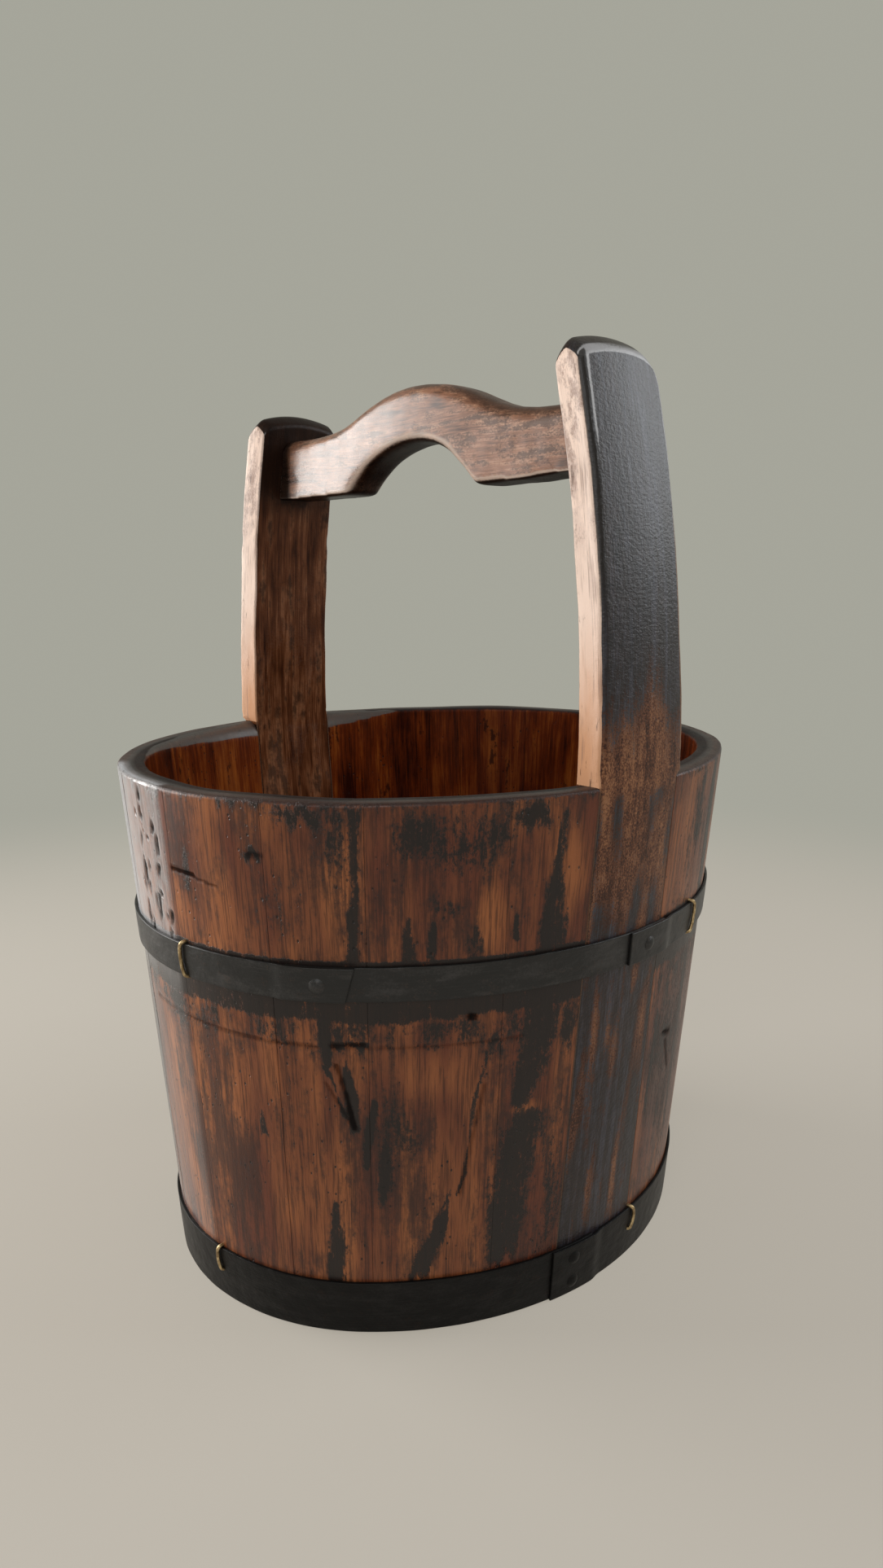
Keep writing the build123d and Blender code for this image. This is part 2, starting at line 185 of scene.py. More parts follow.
@dataclass(frozen=True)
class TallStaveShape:
    """Place, outline and bow of a tall stave."""

    width: float
    top_width: float
    offset: float
    height: float
    thickness: float = 18 * MM
    crown_rise: float = 5 * MM
    bow_radius: float = 800 * MM
    bow_lean: float = math.radians(1.2)

    @property
    def shoulder(self) -> float:
        """Height of its top before the crown rises."""
        return self.height - self.crown_rise

    @property
    def bow_centre(self) -> tuple[float, float]:
        """Centre of the bow above the rim, as a distance from the middle plane and a height."""
        out = WALL.half_width - self.bow_radius * math.cos(self.bow_lean)
        return out, WALL.height + self.bow_radius * math.sin(self.bow_lean)

    def edge(self, side: Side) -> float:
        """Place along X of its edge on one side of the tub."""
        return self.offset + side.value * self.width / 2

    def reach(self, height: np.ndarray, inwards: float) -> np.ndarray:
        """How far the outer face, or a face set inwards from it, stands from the tub's middle plane.

        Args:
            height: Heights above the base.
            inwards: How far the face is set inwards.

        Returns:
            The distances.
        """
        straight = WALL.half_width - WALL.inset(height) - inwards / math.cos(WALL.lean)
        centre_out, centre_up = self.bow_centre
        rise = np.clip(height - centre_up, -self.bow_radius / 2, self.bow_radius / 2)
        bowed = centre_out + np.sqrt((self.bow_radius - inwards) ** 2 - rise**2)
        return np.where(height < WALL.height, straight, bowed)


UPRIGHTS = {
    End.NEAR: TallStaveShape(width=60 * MM, top_width=58 * MM, offset=0.5 * MM, height=507 * MM),
    End.FAR: TallStaveShape(width=59 * MM, top_width=57 * MM, offset=-7.5 * MM, height=494.5 * MM),
}


@dataclass(frozen=True)
class Seam:
    """Seam beside an ordinary stave: a length along the rim, or the edge of a tall stave."""

    arc: float
    edge: Optional[float] = None

    def arcs(self, inset: np.ndarray) -> np.ndarray:
        """Where the seam lies.

        Args:
            inset: Distances in from the rim's outline.

        Returns:
            A length along the rim for each distance.
        """
        if self.edge is None:
            return np.full_like(inset, self.arc)
        turn = WALL.side_radius * np.arcsin(abs(self.edge) / (WALL.side_radius - inset))
        run = turn if abs(self.arc) < WALL.half_round / 2 else WALL.half_round - turn
        return math.copysign(1.0, self.arc) * run


def side_seams(side: Side, shares: Sequence[float]) -> list[Seam]:
    """Seams of one side of the tub, from the near tall stave to the far one.

    Args:
        side: The side.
        shares: Widths of its staves, as shares of the rim between the tall staves.

    Returns:
        The seams, one more than the staves.
    """
    ends = {}
    for end in End:
        edge = UPRIGHTS[end].edge(side)
        turn = WALL.side_radius * math.asin(abs(edge) / WALL.side_radius)
        run = turn if end is End.NEAR else WALL.half_round - turn
        ends[end] = Seam(side.value * run, edge)
    start, finish = abs(ends[End.NEAR].arc), abs(ends[End.FAR].arc)
    reached = np.cumsum(shares)[:-1] / sum(shares)
    inner = [Seam(side.value * (start + share * (finish - start))) for share in reached]
    return [ends[End.NEAR], *inner, ends[End.FAR]]


# Boards, the common start of all staves and straps


def grid_lines(length: float, step: float, crowd: Sequence[float] = ()) -> np.ndarray:
    """Places of a board's grid lines, crowded at both of its ends.

    Args:
        length: Length of the board in this direction.
        step: Widest distance between two lines.
        crowd: Distances of extra lines from each end.

    Returns:
        The places, from 0 to length.
    """
    first = crowd[-1] if crowd else 0.0
    count = max(2, math.ceil((length - 2 * first) / step) + 1)
    inner = np.linspace(first, length - first, count)
    front = np.array((0.0, *crowd[:-1])) if crowd else np.empty(0)
    return np.concatenate((front, inner, length - front[::-1]))


def read_points(mesh: bpy.types.Mesh) -> np.ndarray:
    """Reads where a mesh's vertices are.

    Args:
        mesh: The mesh.

    Returns:
        Their places as an (n, 3) array.
    """
    flat = np.empty(len(mesh.vertices) * 3)
    mesh.vertices.foreach_get("co", flat)
    return flat.reshape(-1, 3)


def write_points(mesh: bpy.types.Mesh, places: np.ndarray) -> None:
    """Moves a mesh's vertices to an (n, 3) array of places."""
    mesh.vertices.foreach_set("co", np.ascontiguousarray(places).ravel())
    mesh.update()


def write_vectors(mesh: bpy.types.Mesh, name: str, values: np.ndarray) -> None:
    """Keeps a vector for each vertex, for the finishes to read."""
    kept = mesh.attributes.new(name, "FLOAT_VECTOR", "POINT")
    kept.data.foreach_set("vector", np.ascontiguousarray(values).ravel())


def write_values(mesh: bpy.types.Mesh, name: str, values: Union[float, np.ndarray]) -> None:
    """Keeps a number for each vertex, for the finishes to read."""
    kept = mesh.attributes.new(name, "FLOAT", "POINT")
    kept.data.foreach_set("value", np.broadcast_to(values, len(mesh.vertices)).astype(np.float32))


def ripple(first: np.ndarray, second: np.ndarray, sizes: tuple[float, float], seed: float) -> np.ndarray:
    """Smooth noise over two lengths.

    Args:
        first: First length at each vertex.
        second: Second length at each vertex.
        sizes: Size of the noise's features along each length.
        seed: Number that sets this noise apart from others.

    Returns:
        Values from about -1 to 1.
    """
    wide, long = sizes
    return np.array([noise.noise(Vector((a / wide, b / long, seed))) for a, b in zip(first, second)])


def smooth(value: np.ndarray, low: float, high: float) -> np.ndarray:
    """Smooth step from 0 at low to 1 at high."""
    share = np.clip((value - low) / (high - low), 0.0, 1.0)
    return share * share * (3 - 2 * share)


def round_corner(first: np.ndarray, second: np.ndarray, radius: Union[float, np.ndarray]) -> None:
    """Rounds the corner between two faces, in place.

    Args:
        first: Distance of each vertex from the one face.
        second: Distance of each vertex from the other face.
        radius: Radius of the rounding.
    """
    along = np.clip((radius - first) / radius, 0.0, 1.0)
    across = np.clip((radius - second) / radius, 0.0, 1.0)
    first += radius * along * (1 - np.sqrt(1 - across**2 / 2))
    second += radius * across * (1 - np.sqrt(1 - along**2 / 2))


def edge_wear(mesh: bpy.types.Mesh, spread: int = 3) -> np.ndarray:
    """How sharply a mesh bulges at each vertex: near 0 on flats, towards 1 on its outer edges, below 0 in hollows.

    Args:
        mesh: The mesh, in place.
        spread: Times that the values are evened out among neighbours.

    Returns:
        One value for each vertex.
    """
    places = read_points(mesh)
    normals = np.empty(len(mesh.vertices) * 3)
    mesh.vertices.foreach_get("normal", normals)
    pairs = np.empty(len(mesh.edges) * 2, dtype=np.int64)
    mesh.edges.foreach_get("vertices", pairs)
    first, second = pairs.reshape(-1, 2).T
    way = places[second] - places[first]
    length = np.maximum((way**2).sum(axis=1), 1e-12)
    bend_first = -(way * normals.reshape(-1, 3)[first]).sum(axis=1) / length
    bend_second = (way * normals.reshape(-1, 3)[second]).sum(axis=1) / length
    count = np.bincount(pairs, minlength=len(places))
    value = (np.bincount(first, bend_first, len(places)) + np.bincount(second, bend_second, len(places))) / count
    value = np.clip(value * 2 * MM, -1.0, 1.0)
    for _ in range(spread):
        total = np.bincount(first, value[second], len(places)) + np.bincount(second, value[first], len(places))
        value = 0.5 * value + 0.5 * total / count
    return value


@dataclass
class Board:
    """Straight board of quads before it is bent: across it, through it and along it."""

    across: np.ndarray
    through: np.ndarray
    along: np.ndarray

    def mesh(self, name: str) -> bpy.types.Mesh:
        """Cuts a cube into a grid and moves the grid's lines to their places.

        Args:
            name: Name of the mesh.

        Returns:
            The board's mesh, from the origin into the positive directions.
        """
        directions = (self.across, self.through, self.along)
        shape = bmesh.new()
        bmesh.ops.create_cube(shape, size=1.0)
        for axis, lines in enumerate(directions):
            edges = [edge for edge in shape.edges if abs(edge.verts[0].co[axis] - edge.verts[1].co[axis]) > 0.5]
            bmesh.ops.subdivide_edges(shape, edges=edges, cuts=len(lines) - 2, use_grid_fill=True)
        mesh = bpy.data.meshes.new(name)
        shape.to_mesh(mesh)
        shape.free()
        places = read_points(mesh)
        for axis, lines in enumerate(directions):
            places[:, axis] = np.interp(places[:, axis], np.linspace(-0.5, 0.5, len(lines)), lines)
        write_points(mesh, places)
        return mesh


def add_piece(name: str, mesh: bpy.types.Mesh, finish: bpy.types.Material, slot: str,
              *nodes: str) -> bpy.types.Object:
    """Puts a finished mesh into the scene as a piece that stands for CAD nodes.

    Args:
        name: Name of the piece.
        mesh: Its mesh, in place.
        finish: Its material.
        slot: The record's material slot; not used.
        nodes: The CAD nodes that it stands for.

    Returns:
        The piece.
    """
    mesh.materials.clear()
    mesh.materials.append(finish)
    mesh.polygons.foreach_set("use_smooth", np.ones(len(mesh.polygons), dtype=bool))
    piece = bpy.data.objects.new(name, mesh)
    bpy.context.scene.collection.objects.link(piece)
    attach(piece, BODY)
    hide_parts(*nodes)
    LOG.info("%s: %d faces", name, len(mesh.polygons))
    return piece


# Stains, scars and painted shade of the outer wall


@dataclass(frozen=True)
class Stain:
    """Soft patch on the wall's outer face: its middle, half sizes and strength."""

    arc: float
    height: float
    half_arc: float
    half_height: float
    strength: float

    def cover(self, arc: np.ndarray, height: np.ndarray) -> np.ndarray:
        """How strongly the patch covers the wall, before it breaks up.

        Args:
            arc: Lengths along the rim.
            height: Heights above the base.

        Returns:
            The cover at each place.
        """
        up = (height - self.height * MM) / (self.half_height * MM)
        out = (arc - self.arc * MM) / (self.half_arc * MM)
        return self.strength * (1 - smooth(np.hypot(out, up), 0.15, 1.45))


@dataclass(frozen=True)
class Run:
    """Run of black coat down the wall: places along the rim, heights and half widths, and a strength."""

    points: tuple[tuple[float, float, float], ...]
    strength: float = 1.0

    def cover(self, arc: np.ndarray, height: np.ndarray) -> np.ndarray:
        """How strongly the run covers the wall, before it breaks up.

        Args:
            arc: Lengths along the rim.
            height: Heights above the base.

        Returns:
            The cover at each place.
        """
        best = np.zeros_like(arc)
        places = np.column_stack((arc, height)) / MM
        for first, second in zip(self.points, self.points[1:]):
            begin, way = np.array(first[:2]), np.array(second[:2]) - np.array(first[:2])
            share = np.clip((places - begin) @ way / (way @ way), 0.0, 1.0)
            away = np.linalg.norm(places - begin - share[:, None] * way, axis=1)
            half_width = first[2] + share * (second[2] - first[2])
            best = np.maximum(best, 1 - smooth(away / half_width, 0.35, 1.75))
        return self.strength * best


@dataclass(frozen=True)
class Scar:
    """Narrow cut in the wall's outer face, from one place to another."""

    start: tuple[float, float]
    finish: tuple[float, float]
    half_width: float
    depth: float

    def distance(self, arc: np.ndarray, height: np.ndarray) -> np.ndarray:
        """How far places are from the cut's line.

        Args:
            arc: Lengths along the rim.
            height: Heights above the base.

        Returns:
            The distances.
        """
        begin = np.array(self.start) * MM
        way = np.array(self.finish) * MM - begin
        places = np.column_stack((arc, height)) - begin
        share = np.clip(places @ way / (way @ way), 0.0, 1.0)
        return np.linalg.norm(places - share[:, None] * way, axis=1)


@dataclass(frozen=True)
class Weathering:
    """All the stains and scars of the wall's outer face, with painted shade along the middle hoop and in the cuts,
    in millimetres along the rim and above the base.
    """

    runs: tuple[Run, ...] = (
        Run(((-49.5, 281, 1.5), (-51.5, 258, 4), (-52, 236, 6.5), (-51, 211, 8))),
        Run(((-54, 178, 10), (-58, 154, 10), (-65, 131, 6))),
        Run(((-59, 120, 8), (-64.5, 99, 12), (-70, 71, 12), (-73, 42, 8))),
        Run(((-128, 238, 1.2), (-127.5, 223, 2.6), (-127, 211, 3.2))),
        Run(((-154, 288, 3), (-154, 250, 2.4), (-156, 211, 3.6))),
        Run(((-169, 76, 1.6), (-169, 55, 4.6), (-170.5, 34, 6))),
        Run(((-146, 134, 2.2), (-150, 115, 3), (-151, 101, 1.6))),
        Run(((-104, 82, 1.2), (-110, 61, 3.6), (-122, 36, 6))),
        Run(((-85, 166, 0.9), (-91, 130, 0.9), (-99, 83, 1.2))),
        Run(((-172, 192, 3.4), (-172, 169, 3), (-170.5, 156, 1.4))),
        Run(((-166, 171, 1.8), (-151, 169, 1.8))),
        Run(((-161, 160, 1.4), (-158, 138, 3.2), (-157, 122, 2.2))),
        Run(((-172, 155, 1), (-162, 133, 1.2))),
        Run(((-211.5, 128, 1.2), (-211, 116, 2.2))),
        Run(((-247, 262, 2), (-249, 240, 2.6)), 0.6),
        Run(((-140, 110, 3.5), (-141, 92, 5), (-142, 80, 2.5)), 0.8),
        Run(((-116, 232, 1.2), (-117, 215, 1.8))),
        Run(((-73, 233, 1.4), (-73, 224, 2))),
        Run(((41, 180, 2), (43, 140, 3), (42, 90, 2)), 0.7),
        Run(((70, 283, 5), (71, 250, 3)), 0.7),
        Run(((84, 190, 3), (83, 120, 4), (86, 60, 3)), 0.7),
        Run(((96, 285, 5), (96, 240, 6), (97, 212, 4)), 0.9),
        Run(((-318, 200, 3), (-320, 140, 6), (-322, 70, 4))),
        Run(((-352, 285, 6), (-350, 250, 8), (-352, 214, 5))),
        Run(((-400, 165, 4), (-405, 110, 9), (-410, 60, 6))),
        Run(((-446, 288, 5), (-444, 240, 7), (-446, 212, 4))),
        Run(((-500, 185, 4), (-500, 120, 7), (-503, 50, 5))),
        Run(((140, 178, 4), (142, 110, 8), (139, 50, 5))),
        Run(((182, 286, 8), (180, 240, 6), (182, 214, 4))),
        Run(((210, 140, 4), (214, 90, 7), (218, 40, 5))),
        Run(((262, 288, 4), (260, 230, 7))),
        Run(((305, 165, 6), (303, 100, 10), (308, 45, 6))),
        Run(((356, 286, 7), (358, 246, 5))),
        Run(((404, 190, 4), (402, 130, 7), (396, 60, 5))),
        Run(((462, 150, 6), (460, 90, 9), (466, 45, 6))),
        Run(((500, 286, 5), (498, 230, 7))),
    )
    mottles: tuple[Stain, ...] = (
        Stain(-99, 272, 26, 18, 0.75),
        Stain(-124, 276, 14, 14, 0.75),
        Stain(-66, 283, 15, 9, 0.9),
        Stain(-160, 266, 11, 28, 0.6),
        Stain(-181, 286, 20, 8, 0.8),
        Stain(-108, 241, 10, 8, 0.6),
        Stain(-94, 222, 8, 12, 0.45),
        Stain(-205, 265, 6, 3.2, 0.9),
        Stain(-82, 163, 8, 8, 0.85),
        Stain(-38, 168, 7, 16, 0.75),
        Stain(-137, 121, 9, 26, 0.5),
        Stain(-41, 70, 10, 60, 0.55),
        Stain(-128, 113, 6, 12, 0.6),
        Stain(-192, 236, 16, 26, 0.3),
        Stain(-106, 70, 6, 20, 0.5),
        Stain(66, 150, 40, 120, 0.42),
        Stain(70, 270, 12, 30, 0.6),
        Stain(-330, 80, 20, 40, 0.5),
        Stain(-380, 250, 30, 30, 0.6),
        Stain(-470, 90, 30, 40, 0.55),
        Stain(160, 240, 30, 40, 0.6),
        Stain(240, 60, 24, 30, 0.5),
        Stain(330, 80, 34, 40, 0.55),
        Stain(430, 250, 30, 34, 0.6),
    )
    tones: tuple[Stain, ...] = (
        Stain(-242, 115, 13, 55, -1.0),
        Stain(-224, 70, 16, 45, -0.8),
        Stain(-262, 100, 10, 60, -0.8),
        Stain(-198, 120, 8, 40, -0.5),
        Stain(-250, 262, 6, 30, -0.6),
        Stain(-147, 95, 16, 36, -0.5),
        Stain(60, 120, 30, 80, -0.5),
        Stain(-330, 150, 20, 90, -0.7),
        Stain(-420, 200, 24, 60, -0.7),
        Stain(150, 90, 26, 70, -0.7),
        Stain(280, 200, 24, 60, -0.7),
        Stain(380, 110, 24, 80, -0.7),
        Stain(480, 180, 20, 80, -0.6),
        Stain(-103, 110, 13, 60, 0.9),
        Stain(-88, 232, 10, 16, 1.0),
        Stain(-162, 55, 8, 30, 0.5),
        Stain(-42, 250, 8, 26, 0.7),
        Stain(-190, 110, 18, 60, 0.5),
        Stain(-118, 150, 14, 16, 0.6),
        Stain(-228, 225, 22, 30, 0.35),
        Stain(-62, 125.5, 9, 4, 1.0),
        Stain(45, 250, 14, 30, 0.8),
        Stain(-212, 60, 22, 26, 0.55),
        Stain(-238, 130, 20, 40, 0.45),
        Stain(-205, 150, 10, 24, 0.5),
        Stain(-300, 90, 20, 50, 0.6),
        Stain(-360, 120, 20, 50, 0.7),
        Stain(-440, 160, 18, 50, 0.6),
        Stain(120, 250, 20, 26, 0.6),
        Stain(200, 150, 20, 60, 0.6),
        Stain(330, 250, 20, 26, 0.6),
        Stain(440, 120, 20, 60, 0.6),
    )
    scars: tuple[Scar, ...] = (
        Scar((-260, 250.5), (-243, 249.5), 0.8, 0.9),
        Scar((-245, 249.0), (-227, 246), 0.6, 0.6),
        Scar((-300, 169.5), (-176, 167.5), 0.8, 0.45),
        Scar((-168, 168.5), (-151, 169.5), 1.1, 0.6),
        Scar((-150, 168), (-66, 167), 0.7, 0.3),
        Scar((-166, 158), (-160, 138), 1.0, 0.6),
        Scar((-161, 142), (-157, 123), 1.1, 0.7),
        Scar((-172, 148), (-158, 124), 0.6, 0.4),
        Scar((-206, 265), (-200, 265), 1.4, 0.5),
        Scar((-87, 143), (-99, 82), 0.9, 0.35),
        Scar((-95.5, 181.5), (-93.5, 181.5), 1.3, 1.4),
        Scar((56, 135), (66, 133), 1.3, 0.6),
        Scar((62, 128), (72, 108), 1.1, 0.4),
    )
    hoop_ghost: tuple[float, float] = (181.5, 193.0)
    rim_grime: float = 284.0
    polish_and_painted_sheen_start: tuple[float, float] = (262.0, 268.0)
    polish_and_painted_sheen_end: tuple[float, float] = (330.0, 350.0)

    def soot(self, arc: np.ndarray, height: np.ndarray) -> np.ndarray:
        """Cover of the black coat: runs, mottles, the old place of the middle hoop and grime at the rim, with a
        painted shadow along the middle hoop's top edge.

        Args:
            arc: Lengths along the rim.
            height: Heights above the base.

        Returns:
            The cover at each place, 0 to 1.
        """
        shifted = arc + 2.4 * MM * ripple(arc, height, (9 * MM, 30 * MM), 3.1)
        shifted += 1.1 * MM * ripple(arc, height, (3.5 * MM, 16 * MM), 8.7)
        lifted = height + 7 * MM * ripple(arc, height, (4 * MM, 60 * MM), 5.3)
        covers = [stain.cover(shifted, lifted) for stain in (*self.runs, *self.mottles)]
        low, high = (edge * MM for edge in self.hoop_ghost)
        frayed = height + 3 * MM * ripple(arc, height, (9 * MM, 30 * MM), 4.6)
        ghost = smooth(frayed, low - 3 * MM, low + 3 * MM) * (1 - smooth(height, high, high + 8 * MM))
        ghost *= 1.10 + 0.30 * ripple(arc, height, (26 * MM, 20 * MM), 1.9)
        below = (1 - smooth(height, low - 4 * MM, low + 4 * MM)) * smooth(lifted, 150 * MM, 180 * MM)
        below *= 0.45 + 0.6 * ripple(arc, height, (20 * MM, 30 * MM), 7.3)
        grime = 0.55 * smooth(lifted, self.rim_grime * MM, self.rim_grime * MM + 10 * MM)
        # Painted shadow along the top edge of the middle hoop
        painted_hoop_shadow = 1 - smooth(np.abs(height - HOOPS.middle_high), 1.5 * MM, 3.2 * MM)
        return np.clip(np.max([*covers, ghost, below, grime, painted_hoop_shadow], axis=0), 0.0, 1.0)

    def glow(self, arc: np.ndarray, height: np.ndarray) -> np.ndarray:
        """How far each place of the outer face is rubbed bright, or darkened below 0."""
        shifted = arc + 5 * MM * ripple(arc, height, (12 * MM, 40 * MM), 2.3)
        return np.clip(np.sum([tone.cover(shifted, height) for tone in self.tones], axis=0), -1.0, 1.0)

    def polish(self, arc: np.ndarray) -> np.ndarray:
        """How far each place belongs to the knotty stave on the left, which is rubbed smooth and gets a painted
        pale sheen.
        """
        left = -arc / MM
        return smooth(left, *self.polish_and_painted_sheen_start) * (1 - smooth(left, *self.polish_and_painted_sheen_end))

    def scarring(self, arc: np.ndarray, height: np.ndarray) -> tuple[np.ndarray, np.ndarray]:
        """Cuts in the outer face.

        Args:
            arc: Lengths along the rim.
            height: Heights above the base.

        Returns:
            Depth of the cuts at each place, and the painted shade in them.
        """
        depth = np.zeros_like(arc)
        dark = np.zeros_like(arc)
        ragged = 1 + 0.6 * ripple(arc, height, (5 * MM, 5 * MM), 6.6)
        for scar in self.scars:
            away = scar.distance(arc, height) / (scar.half_width * MM * ragged)
            hollow = 1 - smooth(away, 0.3, 1.6)
            depth = np.maximum(depth, scar.depth * MM * hollow)
            # Painted shade in the cut, darker where it is deeper
            dark = np.maximum(dark, min(1.0, scar.depth) * (1 - smooth(away, 0.6, 2.2)))
        return depth, dark


WEATHER = Weathering()


@dataclass(frozen=True)
class PittedPatch:
    """Deep pits where a knotty stave has lost its soft wood."""

    arc_range: tuple[float, float] = (-296.0, -266.0)
    height_range: tuple[float, float] = (206.0, 286.0)
    count: int = 26
    seed: int = 11

    def depth(self, arc: np.ndarray, height: np.ndarray) -> np.ndarray:
        """Depth of the pits.

        Args:
            arc: Lengths along the rim.
            height: Heights above the base.

        Returns:
            The depth at each place.
        """
        draw = np.random.default_rng(self.seed)
        depth = np.zeros_like(arc)
        ragged_arc = arc + 1.6 * MM * ripple(arc, height, (4 * MM, 5 * MM), 2.6)
        ragged_height = height + 3 * MM * ripple(arc, height, (3 * MM, 9 * MM), 7.1)
        for _ in range(self.count):
            spot_arc = draw.uniform(*self.arc_range) * MM
            spot_height = draw.uniform(*self.height_range) * MM
            half_width = draw.uniform(0.8, 1.9) * MM
            half_height = half_width * draw.uniform(1.6, 5.0)
            deep = draw.uniform(0.8, 2.2) * MM
            away = np.hypot((ragged_arc - spot_arc) / half_width, (ragged_height - spot_height) / half_height)
            depth = np.maximum(depth, deep * (1 - smooth(away, 0.2, 1.3)))
        return depth


KNOTS = PittedPatch()


# Wooden pieces


FOOT_EASE = 1.2 * MM


@dataclass
class Stave:
    """Ordinary stave: a board eased along its edges, worn, grooved for the bottom and bent to the wall."""

    name: str
    start: Seam
    finish: Seam
    seed: float
    step: float = 2.0 * MM
    ease: float = 0.25 * MM
    rim_ease: float = 2.2 * MM
    foot_ease: float = FOOT_EASE
    scoop: float = 8.5 * MM
    scoop_reach: tuple[float, float] = (230 * MM, 100 * MM)
    croze: tuple[float, float, float] = (16 * MM, 28 * MM, 5 * MM)

    def build(self, finish: bpy.types.Material) -> bpy.types.Object:
        """Makes the stave.

        Args:
            finish: Its material.

        Returns:
            The piece.
        """
        width = self.finish.arc - self.start.arc
        edge_lines = (0.35 * MM, 0.8 * MM, 1.5 * MM)
        rim_lines = (0.5 * MM, 1.1 * MM, 1.8 * MM, 2.7 * MM, 4 * MM)
        across = grid_lines(width, self.step, edge_lines)
        through = grid_lines(WALL.thickness, 3 * MM, edge_lines)
        along = self.groove_lines(grid_lines(WALL.height, self.step, rim_lines))
        mesh = Board(across, through, along).mesh(self.name)
        board = read_points(mesh)
        place = self.shape(mesh, board, width)
        write_points(mesh, WALL.bend(*place.T))
        return add_piece(self.name, mesh, finish, "stave_wood", self.name)

    def scooped(self, arc: np.ndarray) -> np.ndarray:
        """How much further the rim's inner edge is worn round, most of all beside the far tall stave.

        Args:
            arc: Lengths along the rim.

        Returns:
            Radius of the wear, on top of the rim's own rounding.
        """
        left, right = self.scoop_reach
        away = WALL.half_round - np.abs(arc)
        return self.scoop * (1 - smooth(away, 20 * MM, np.where(arc < 0, left, right)))

    def groove_lines(self, lines: np.ndarray) -> np.ndarray:
        """Adds pairs of grid lines at the two edges of the groove for the bottom.

        Args:
            lines: Grid lines along the stave.

        Returns:
            All the lines, in order.
        """
        low, high, _ = self.croze
        sharp = 0.05 * MM
        extra = (low - sharp, low, high, high + sharp)
        return np.unique(np.concatenate((lines, extra)))

    def eased(self, board: np.ndarray, width: float) -> tuple[np.ndarray, np.ndarray, np.ndarray, np.ndarray]:
        """Rounds the straight board's edges and cuts the groove for the bottom.

        Args:
            board: Vertices of the straight board.
            width: Its width along the rim.

        Returns:
            Places across the board, depths, heights, and 1 in the scoop of the rim's inner edge.
        """
        across, depth, height = board.T.copy()
        low, high, deep = self.croze
        hair = 0.01 * MM
        grooved = (depth > WALL.thickness - hair) & (height > low - hair) & (height < high + hair)
        left, right = across.copy(), width - across
        below, above = height.copy(), WALL.height - height
        outside, inside = depth.copy(), WALL.thickness - depth
        scoop = self.scooped(self.start.arc + across)
        hollow = smooth(scoop, 0.0, 2 * MM) * smooth(scoop - above, -MM, MM) * smooth(scoop - inside, -MM, MM)
        for face, rim_ease in ((outside, self.rim_ease), (inside, self.rim_ease + scoop)):
            round_corner(above, face, rim_ease)
            round_corner(below, face, self.foot_ease)
            round_corner(left, face, self.ease)
            round_corner(right, face, self.ease)
        across = left + (width - right) - across
        height = below + (WALL.height - above) - height
        depth = outside + (WALL.thickness - inside) - depth
        return across, np.where(grooved, WALL.thickness - deep, depth), height, hollow

    def shape(self, mesh: bpy.types.Mesh, board: np.ndarray, width: float) -> np.ndarray:
        """Eases, grooves and wears the straight board, and keeps what the finish reads.

        Args:
            mesh: The board's mesh.
            board: Its vertices.
            width: Its width along the rim.

        Returns:
            Lengths along the rim, depths and heights of the vertices.
        """
        outer = 1 - smooth(board[:, 1], 0.1 * WALL.thickness, 0.4 * WALL.thickness)
        inner = smooth(board[:, 1], 0.6 * WALL.thickness, 0.9 * WALL.thickness)
        seam = np.minimum(board[:, 0], width - board[:, 0])
        across, depth, height, hollow = self.eased(board, width)
        share = across / width
        inset = WALL.inset(height) + depth
        start = self.start.arcs(inset)
        arc = start + share * (self.finish.arcs(inset) - start)
        scar_depth, painted_scar_shade = WEATHER.scarring(arc, height)
        pits = KNOTS.depth(arc, height)
        swell = 0.25 * MM * ripple(arc, height, (24 * MM, 90 * MM), self.seed)
        swell += 0.1 * MM * ripple(arc, height, (7 * MM, 40 * MM), self.seed + 4.4)
        flat = 0.25 * MM * (1 - (2 * share - 1) ** 2) + 0.12 * MM * math.sin(self.seed * 2.7)
        worn = swell + flat + scar_depth + pits
        depth = depth + outer * np.maximum(worn, 0.02 * MM) - inner * swell
        rim = smooth(height, WALL.height - 30 * MM, WALL.height)
        height = height + rim * 0.7 * MM * ripple(arc, depth, (46 * MM, 30 * MM), 2.2)
        write_vectors(mesh, "place", np.column_stack((arc, depth, height)))
        write_values(mesh, "seed", self.seed)
        write_values(mesh, "tone", math.sin(self.seed * 5.1))
        write_values(mesh, "seam", seam)
        write_values(mesh, "hollow", hollow)
        write_values(mesh, "soot", WEATHER.soot(arc, height) * outer)
        write_values(mesh, "glow", WEATHER.glow(arc, height) * outer)
        write_values(mesh, "polish", WEATHER.polish(arc) * outer)
        # Painted shade in the cuts and in the knot's pits, darker where they are deeper
        write_values(mesh, "scar", np.maximum(painted_scar_shade, np.minimum(pits / (0.5 * MM), 1.0)) * outer)
        return np.column_stack((arc, depth, height))


@dataclass(frozen=True)
class EdgeEasing:
    """Roundings of a tall stave's four long edges above the rim, as seen from outside, and of its top corners."""

    outer_left: float
    outer_right: float
    inner_left: float
    inner_right: float
    corner_left: float
    corner_right: float


